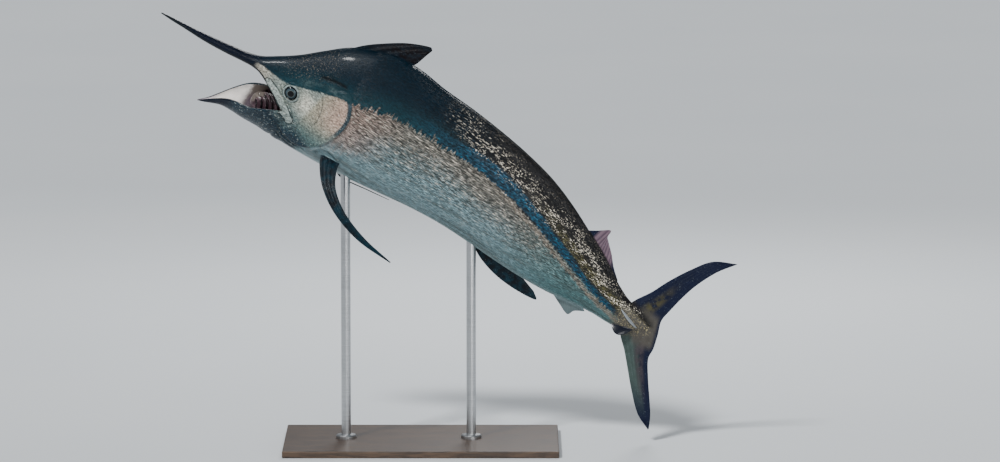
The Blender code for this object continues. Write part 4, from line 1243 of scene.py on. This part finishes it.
def first_dorsal_tint(n, out, across, blotch):
    tone = n.mix(n.step(blotch, 0.40, 0.65), DORSAL_MAROON, DORSAL_DARK)
    tone = n.mix(n.step(out, 0.35, 0.10), tone, BACK_FRONT)
    return n.mix(n.step(across, 0.06, 0.0), tone, DORSAL_EDGE), 34, 0.0, 0.020


def second_dorsal_tint(n, out, across, blotch):
    tone = n.mix(n.step(across, 0.15, 0.20), FIN_NAVY, MEMBRANE_MAUVE)
    dark = n.times(rays(n, 13), n.step(across, 0.15, 0.20, 0.0, 0.60))
    tone = n.mix(dark, tone, MEMBRANE_DARK)
    tone = n.mix(n.step(across, 0.70, 0.86), tone, FIN_NAVY)
    return tone, 26, 0.0, 0.014


def pale_fin_tint(n, out, across, blotch):
    tone = n.mix(n.step(out, 0.5, 1.0, 0.0, 0.5), ANAL_GREY, ANAL_TIP)
    return tone, 16, 0.0, 0.02


def tail_upper_tint(n, out, across, blotch):
    strip = n.times(n.band(across, 0.30, 0.62, 0.12), n.step(out, 0.62, 0.22))
    tone = n.mix(n.times(strip, n.step(blotch, 0.30, 0.60)), FIN_NAVY, TAIL_OLIVE)
    base = n.times(n.step(out, 0.24, 0.10), n.step(across, 0.22, 0.42))
    return n.mix(n.times(base, n.step(across, 1.0, 0.86)), tone, TAIL_BASE), 40, 0.0, 0.05


def tail_lower_tint(n, out, across, blotch):
    front = n.times(n.step(across, 0.70, 0.50), n.step(out, 0.90, 0.50))
    tone = n.mix(n.times(front, 0.9), FIN_NAVY, TAIL_GREEN)
    mauve = n.times(n.band(across, 0.42, 0.78, 0.10), n.step(out, 0.80, 0.40))
    tone = n.mix(n.times(mauve, n.step(blotch, 0.30, 0.55, 0.3, 0.9)), tone, TAIL_MAUVE)
    base = n.times(n.step(out, 0.26, 0.12), n.step(across, 0.22, 0.42))
    return n.mix(n.times(base, n.step(across, 1.0, 0.86)), tone, TAIL_BASE), 40, 0.0, 0.05


def keel_look(material):
    n = Nodes(material)
    body, rough, height = body_tone(n)
    # Painted shade: the lower keel is painted dark as the shadowed notch under the tail's root,
    # over its own dark tone
    low = n.step(n.fish(1), -0.012, -0.024)
    # Painted highlight: the upper keel is mostly a pale highlight line
    tone = n.mix(low, n.mix(0.8, body, KEEL_HIGHLIGHT), KEEL_NOTCH_SHADE)
    n.bumped(height, 0.0008)
    n.finish(tone, rough, coat=0.3, coat_roughness=0.10, specular=0.25)


# Folds that are drawn dark too, as painted shade in their grooves: line, strength
FOLD_MARKS = (
    (PREOPERCLE, 0.80), (BEHIND_PLATE, 1.00), (CHEEK_DIMPLE, 0.50), (THROAT_UPPER, 0.95),
    (THROAT_LOWER, 0.85), (THROAT_FAINT, 0.25),
)
FOLD_MARK_WIDTH = 0.0045
MOTTLE_WIDTH = 0.045
NAPE_WIDTH = 0.010

# The line of the upper flank that the painted glints gather round: along, up
GLINT_LINE = (
    (1.60, 0.500), (1.72, 0.522), (2.08, 0.455), (2.39, 0.367), (2.70, 0.274), (2.83, 0.222),
    (2.96, 0.146), (3.09, 0.080), (3.25, 0.052),
)


def put(mesh, name, values):
    """Writes one number, or one vector, for each point of a mesh."""
    values = np.asarray(values, np.float32)
    vector = values.ndim == 2
    layer = mesh.attributes.new(name, "FLOAT_VECTOR" if vector else "FLOAT", "POINT")
    layer.data.foreach_set("vector" if vector else "value", values.reshape(-1))


def mark(mesh, fish):
    """Writes the places and distances that the fish's markings are drawn from."""
    along, up = fish[:, 0], fish[:, 1]
    gap, _, side = line_distance(along, up, smooth_line(DARK_EDGE, 60))
    put(mesh, "fish", fish)
    put(mesh, "edge", -gap * side)
    back, belly, _ = section(along)
    put(mesh, "rise", np.clip((2 * up - back - belly) / (back - belly), -1.0, 1.0))
    head = (along > HEAD_FROM) & (along < HEAD_TO)
    gill = np.full(len(along), -FAR)
    folds, nape, mottle = (np.zeros(len(along)) for _ in range(3))
    a, u = along[head], up[head]
    gill[head] = closed_distance(a, u, GILL_EDGE)
    dark = np.zeros(len(a))
    for line, strength in FOLD_MARKS:
        dark = np.maximum(dark, groove(a, u, smooth_line(line), -strength, FOLD_MARK_WIDTH))
    folds[head] = dark
    mottle[head] = groove(a, u, smooth_line(CHEEK_MOTTLE), -1.0, MOTTLE_WIDTH)
    nape[head] = groove(a, u, smooth_line(NAPE), -1.0, NAPE_WIDTH)
    put(mesh, "gill", gill)
    put(mesh, "folds", folds)
    put(mesh, "nape", nape)
    put(mesh, "mottle", mottle)
    plate = np.full(len(along), 1.0)
    plate[head] = line_distance(a, u, smooth_line(CHEEK_PLATE_LINE))[0]
    put(mesh, "plate", plate)
    put(mesh, "ring", np.hypot(along - EYE_ALONG, up - EYE_UP))
    angle = np.radians(np.interp(along, JAW_EDGE_AT, JAW_EDGE_DEGREES))
    rim = (back + belly) / 2 - (back - belly) / 2 * np.sin(angle)
    put(mesh, "lip", np.abs(up - rim))
    # Distance to the line that the painted glints gather round
    put(mesh, "glint_gap", line_distance(along, up, smooth_line(GLINT_LINE, 40))[0])


def faces_points(mesh, slots):
    """The points that faces of these material slots use."""
    index = np.zeros(len(mesh.polygons), np.int32)
    mesh.polygons.foreach_get("material_index", index)
    totals = np.zeros(len(mesh.polygons), np.int32)
    mesh.polygons.foreach_get("loop_total", totals)
    corners = np.zeros(len(mesh.loops), np.int32)
    mesh.loops.foreach_get("vertex_index", corners)
    return np.unique(corners[np.isin(np.repeat(index, totals), slots)])


def mark_fins(mesh, world):
    """Writes how far out and across its fin each point is, and how far from the body."""
    out, across, gap = (np.zeros(len(world)) for _ in range(3))
    plain = set(faces_points(mesh, [SLOT_SKIN]).tolist())
    for slot in range(SLOT_FIRST_DORSAL, SLOT_KEEL):
        own = faces_points(mesh, [slot])
        tree_points = np.concatenate([points for s, points, _ in FIN_PLACES if s == slot])
        places = np.concatenate([where for s, _, where in FIN_PLACES if s == slot])
        tree = KDTree(len(tree_points))
        for i, point in enumerate(tree_points):
            tree.insert(point, i)
        tree.balance()
        seam = [v for v in own.tolist() if v in plain]
        roots = KDTree(max(1, len(seam)))
        for i, v in enumerate(seam):
            roots.insert(world[v], i)
        roots.balance()
        for v in own.tolist():
            out[v], across[v] = places[tree.find(world[v])[1]]
            gap[v] = roots.find(world[v])[2]
    put(mesh, "fin_out", out)
    put(mesh, "fin_across", across)
    put(mesh, "fin_gap", gap)


def eye_look(material):
    """Pupil, iris with a thin bright rim and fine spokes, and the outer ball painted dark as the
    lid's shade.
    """
    n = Nodes(material)
    ring = n.attribute("ring")
    spokes = n.noise(n.stretched(260.0, 260.0, 0.0), 1.0, 3.0, 0.6)
    edge = n.wavy(ring, spokes, 0.0015)
    # Painted shade: the outer ball darkened as the lid's shade
    tone = n.mix(n.step(edge, 0.0345, 0.0290), EYEBALL_LID_SHADE, IRIS)
    tone = n.mix(n.times(n.band(edge, 0.0190, 0.0208, 0.0008), 0.7), tone, IRIS_RIM)
    tone = n.lit(tone, n.plus(0.50, n.times(spokes, 1.0)))
    tone = n.mix(n.step(edge, 0.0196, 0.0186), tone, PUPIL)
    n.bumped(spokes, 0.0001)
    n.finish(tone, n.plus(0.05, n.times(spokes, 0.04)), coat=0.20, coat_roughness=0.02,
             specular=0.14)


def build_eye(side):
    """An eyeball that is a glossy, slightly flattened dome."""
    centre_left = float(surface_left(EYE_ALONG, EYE_UP)) - EYE_SINK
    centre = (EYE_ALONG, EYE_UP, side * centre_left)
    name = "eye_dome_left" if side > 0 else "eye_dome_right"
    radii = (EYE_RADIUS, EYE_RADIUS, EYE_BULGE - 0.0010)
    eye = ball(name, centre, radii, 72, 64, fullness=0.05)
    eye.data.materials.clear()
    eye.data.materials.append(eye_material)
    world = np.array([v.co for v in eye.data.vertices])
    fish = unplace(world)
    put(eye.data, "fish", fish)
    put(eye.data, "ring", np.hypot(fish[:, 0] - EYE_ALONG, fish[:, 1] - EYE_UP))
    smoothed(eye)
    return eye


SCALES_PER_PIECE = 12000
SCALE_SEED = 4207
SCALE_LENGTH = (0.020, 0.036)
SCALE_WIDTH = (0.0040, 0.0062)
SCALE_HEIGHT = (0.0006, 0.0012)
SCALE_SLANT = 0.055
SCALES_START = 1.06
SCALES_END = 3.14

# A scale's six corners in shares of its half length, half width and height, and its eight faces
SCALE_CORNERS = (
    (-1.0, 0.0, -0.30), (-0.15, 1.0, -0.15), (1.0, 0.0, 0.10), (-0.15, -1.0, -0.15),
    (-0.40, 0.0, 0.80), (0.35, 0.0, 1.0),
)
SCALE_FACES = (
    (0, 1, 4), (1, 5, 4), (1, 2, 5), (0, 4, 3), (3, 4, 5), (3, 5, 2), (0, 3, 1), (1, 3, 2),
)


def skin_points(along, angle, rise):
    """World points at a height above the skin, at distances along and angles round the body."""
    back, belly, half = section(along)
    step = 0.002
    up, left = section_point(back, belly, half, angle)
    up_on, left_on = section_point(back, belly, half, angle + step)
    behind = section(along + step)
    up_back, left_back = section_point(*behind, angle)
    here = place(np.stack((along, up, left), axis=-1))
    around = place(np.stack((along, up_on, left_on), axis=-1)) - here
    down = place(np.stack((along + step, up_back, left_back), axis=-1)) - here
    normal = np.cross(around, down)
    normal /= np.linalg.norm(normal, axis=-1, keepdims=True)
    middle = place(np.stack((along, (back + belly) / 2, 0 * up), axis=-1))
    normal *= np.sign(((here - middle) * normal).sum(axis=-1, keepdims=True))
    lift = rise + relief(along, up, left)
    return here + normal * lift[..., None]


def scale_roots(random, side, upper, count):
    """Seeded roots of scales on one quarter of the body: distance along and angle."""
    along, angle = [], []
    while len(along) < count:
        a = random.uniform(SCALES_START, SCALES_END, count)
        turn = random.uniform(0.0, math.pi / 2, count)
        turn = turn if upper else -turn
        back, belly, half = section(a)
        keep = random.uniform(0.0, 1.0, count) < ((back - belly) / 2 + half) / 0.62
        up, _ = section_point(back, belly, half, turn)
        head = closed_distance(a, up, GILL_EDGE) > -0.020
        ahead = a < 1.17 + 0.10 * smooth(0.33, 0.10, up)
        low = (up < -0.05) & (a < 1.40)
        fin = (np.abs(np.abs(turn) - math.pi / 2) < 0.05)
        keep &= ~(head | ahead | low | fin)
        along.extend(a[keep])
        angle.extend(turn[keep])
    along, angle = np.array(along[:count]), np.array(angle[:count])
    return along, angle if side > 0 else math.pi - angle


def scale_points(random, along, angle):
    """World points of the corners of seeded scales at their roots, six for each."""
    count = len(along)
    back, belly, half = section(along)
    girth = np.hypot((back - belly) / 2 * np.cos(angle), half * np.sin(angle))
    small = smooth(0.03, 0.20, girth) * 0.45 + 0.55
    long = random.uniform(*SCALE_LENGTH, count) * small / 2
    wide = random.uniform(*SCALE_WIDTH, count) * small / 2
    high = random.uniform(*SCALE_HEIGHT, count)
    slant = random.normal(0.0, SCALE_SLANT, count)
    rows = []
    for forward, aside, rise in SCALE_CORNERS:
        reach = forward * long * np.cos(slant) - aside * wide * np.sin(slant)
        across = forward * long * np.sin(slant) + aside * wide * np.cos(slant)
        at = np.clip(along + reach, SCALES_START, STALK_END - 0.01)
        rows.append(skin_points(at, angle + across / np.maximum(girth, 0.02), rise * high))
    return np.stack(rows, axis=1).reshape(-1, 3)


def build_scales(side, upper):
    """One joined piece of lancet scales: thin closed slivers that lie back along the body."""
    random = np.random.default_rng(SCALE_SEED + 2 * (side > 0) + upper)
    count, corners = SCALES_PER_PIECE, len(SCALE_CORNERS)
    along, angle = scale_roots(random, side, upper, count)
    points = scale_points(random, along, angle)
    first = corners * np.arange(count)[:, None, None]
    faces = (np.array(SCALE_FACES)[None] + first).reshape(-1, 3)
    name = f"scales_{'upper' if upper else 'lower'}_{'left' if side > 0 else 'right'}"
    mesh = bpy.data.meshes.new(name)
    mesh.from_pydata(points.tolist(), [], faces.tolist())
    mesh.materials.append(scale_material)
    coat = linked(name, mesh)
    mark(mesh, unplace(points))
    put(mesh, "shade", np.repeat(random.uniform(0.0, 1.0, count), corners))
    bake_map(mesh, along, angle, faces)
    return coat


def bake_map(mesh, along, angle, faces):
    """The unwrap for export: each scale a small patch at its root's place on the flattened body."""
    turn = np.mod(angle, 2 * math.pi)
    share = (turn - turn.min()) / max(turn.max() - turn.min(), 1e-6)
    middle = np.stack(
        ((along - SCALES_START) / (SCALES_END - SCALES_START), share), axis=1
    ) * 0.99 + 0.005
    offsets = np.array([(x, y) for x, y, _ in SCALE_CORNERS]) * 0.0015
    places = (middle[:, None, :] + offsets[None]).reshape(-1, 2)
    layer = mesh.uv_layers.new(name="OFBake")
    layer.data.foreach_set("uv", places[faces.reshape(-1)].astype(np.float32).reshape(-1))


skin = build_skin()
world_points = np.zeros(len(skin.data.vertices) * 3, np.float32)
skin.data.vertices.foreach_get("co", world_points)
world_points = world_points.reshape(-1, 3).astype(float)
skin_fish = unplace(world_points)
mark(skin.data, skin_fish)
put(skin.data, "slit", gill_slits(skin_fish[:, 0], skin_fish[:, 1], skin_fish[:, 2]))
mark_fins(skin.data, world_points)
skin_look(SKIN_LOOKS[SLOT_SKIN])
mouth_look(SKIN_LOOKS[SLOT_MOUTH])
FIN_TINTS = {
    SLOT_FIRST_DORSAL: first_dorsal_tint, SLOT_SECOND_DORSAL: second_dorsal_tint,
    SLOT_DARK_FIN: dark_fin_tint, SLOT_PALE_FIN: pale_fin_tint,
    SLOT_TAIL_UPPER: tail_upper_tint, SLOT_TAIL_LOWER: tail_lower_tint,
}
for slot, tint in FIN_TINTS.items():
    fin_look(SKIN_LOOKS[slot], tint)
keel_look(SKIN_LOOKS[SLOT_KEEL])
smoothed(skin)
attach(skin, "root")
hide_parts(*[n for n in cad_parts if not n.startswith(("stand_", "eye_"))])

eye_material = procedural("marlin_eye")
eye_look(eye_material)
for side in (1, -1):
    eye = build_eye(side)
    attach(eye, "root")
    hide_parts("eye_left" if side > 0 else "eye_right")

scale_material = procedural("marlin_scale")
scale_look(scale_material)
for side in (1, -1):
    for upper in (True, False):
        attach(build_scales(side, upper), "root")

# Colours of the stand and the floor, as linear values
OAK_DARK = (0.030, 0.017, 0.010)
OAK_LIGHT = (0.095, 0.055, 0.030)
OAK_PORE = (0.010, 0.006, 0.004)
STEEL_DARK = (0.42, 0.43, 0.44)
STEEL_LIGHT = (0.62, 0.63, 0.64)
STEEL_SMEAR = (0.34, 0.35, 0.36)
PAPER_DARK = (0.70, 0.74, 0.77)
PAPER_LIGHT = (0.76, 0.79, 0.81)


def wood_look(material):
    """Dark stained oak with a satin finish."""
    n = Nodes(material)
    where = n.own_place()
    grain = n.noise(n.scaled(where, 1.6, 14.0, 14.0), 3.0, 6.0, 0.62, 0.8)
    pore = n.noise(n.scaled(where, 12.0, 260.0, 260.0), 1.0, 2.0, 0.6)
    tone = n.mix(n.step(grain, 0.32, 0.68), OAK_DARK, OAK_LIGHT)
    tone = n.mix(n.step(pore, 0.46, 0.36, 0.0, 0.6), tone, OAK_PORE)
    n.bumped(n.plus(grain, pore), 0.0004)
    n.finish(tone, n.plus(0.34, n.times(grain, 0.22)), coat=0.25, coat_roughness=0.25)


def steel_look(material):
    """Brushed stainless steel, its scratches running round the rod."""
    n = Nodes(material)
    where = n.own_place()
    brush = n.noise(n.scaled(where, 4.0, 4.0, 900.0), 1.0, 3.0, 0.6)
    smear = n.noise(where, 9.0, 3.0, 0.6)
    tone = n.mix(n.step(brush, 0.3, 0.7), STEEL_DARK, STEEL_LIGHT)
    tone = n.mix(n.step(smear, 0.52, 0.72, 0.0, 0.3), tone, STEEL_SMEAR)
    n.bumped(brush, 0.0001)
    n.finish(tone, n.plus(0.22, n.times(brush, 0.16)), metallic=1.0)


def paper_look(material):
    """A pale studio floor with a faint paper tooth."""
    n = Nodes(material)
    where = n.own_place()
    tooth = n.noise(where, 60.0, 4.0, 0.6)
    cloud = n.noise(where, 0.4, 2.0, 0.5)
    tone = n.mix(cloud, PAPER_DARK, PAPER_LIGHT)
    n.bumped(tooth, 0.0004)
    n.finish(tone, n.plus(0.75, n.times(tooth, 0.15)), specular=0.2)


for name, look in (
    ("stand_base", wood_look), ("stand_rod_front", steel_look), ("stand_rod_rear", steel_look),
):
    made = procedural(name + "_look")
    look(made)
    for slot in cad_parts[name].material_slots:
        slot.material = made

# Studio: the lamps' names, places, power and size
FLOOR_SIZE = 60
LAMPS = (("fill", (5.0, -9.0, 0.9), 330.0, 4.0), ("back", (1.5, 7.0, 6.0), 300.0, 3.0))
LAMPS_AIM = (0.2, 0.0, 1.4)
SUN_TRAVEL = (4.0, 6.0, -7.5)
SUN_ENERGY = 3.1
SUN_ANGLE = 0.16
SKY_COLOUR = (0.88, 0.93, 1.0, 1)
SKY_STRENGTH = 0.24

# Camera at the photo's angle, and the photo's scale at the target
ELEVATION = math.radians(8.0)
DISTANCE = 32.0
TARGET = (0.458, 0.0, 1.261)
PHOTO_WIDTH = 1000.0
PIXELS_PER_METRE = 172.0
SENSOR_WIDTH = 36.0
CLIP_END = 200.0


def turned_along(direction):
    return Vector(direction).to_track_quat("-Z", "Y").to_euler()


bpy.ops.mesh.primitive_plane_add(size=FLOOR_SIZE, location=(0, 0, 0))
floor = bpy.context.object
floor.name = "floor"
paper = procedural("floor_paper")
paper_look(paper)
floor.data.materials.append(paper)

sun = linked("key", bpy.data.lights.new("key", "SUN"))
sun.data.energy = SUN_ENERGY
sun.data.angle = SUN_ANGLE
sun.rotation_euler = turned_along(SUN_TRAVEL)
for name, place_at, power, size in LAMPS:
    lamp = linked(name, bpy.data.lights.new(name, "AREA"))
    lamp.data.energy = power
    lamp.data.size = size
    lamp.location = place_at
    lamp.rotation_euler = turned_along(Vector(LAMPS_AIM) - Vector(place_at))
world = bpy.data.worlds.new("studio")
bpy.context.scene.world = world
world.use_nodes = True
background = world.node_tree.nodes["Background"]
background.inputs["Color"].default_value = SKY_COLOUR
background.inputs["Strength"].default_value = SKY_STRENGTH

camera = linked("camera", bpy.data.cameras.new("camera"))
camera.data.sensor_width = SENSOR_WIDTH
camera.data.lens = SENSOR_WIDTH * DISTANCE * PIXELS_PER_METRE / PHOTO_WIDTH
camera.data.clip_end = CLIP_END
camera.location = (
    TARGET[0], -DISTANCE * math.cos(ELEVATION), TARGET[2] + DISTANCE * math.sin(ELEVATION),
)
camera.rotation_euler = (math.pi / 2 - ELEVATION, 0.0, 0.0)
bpy.context.scene.camera = camera
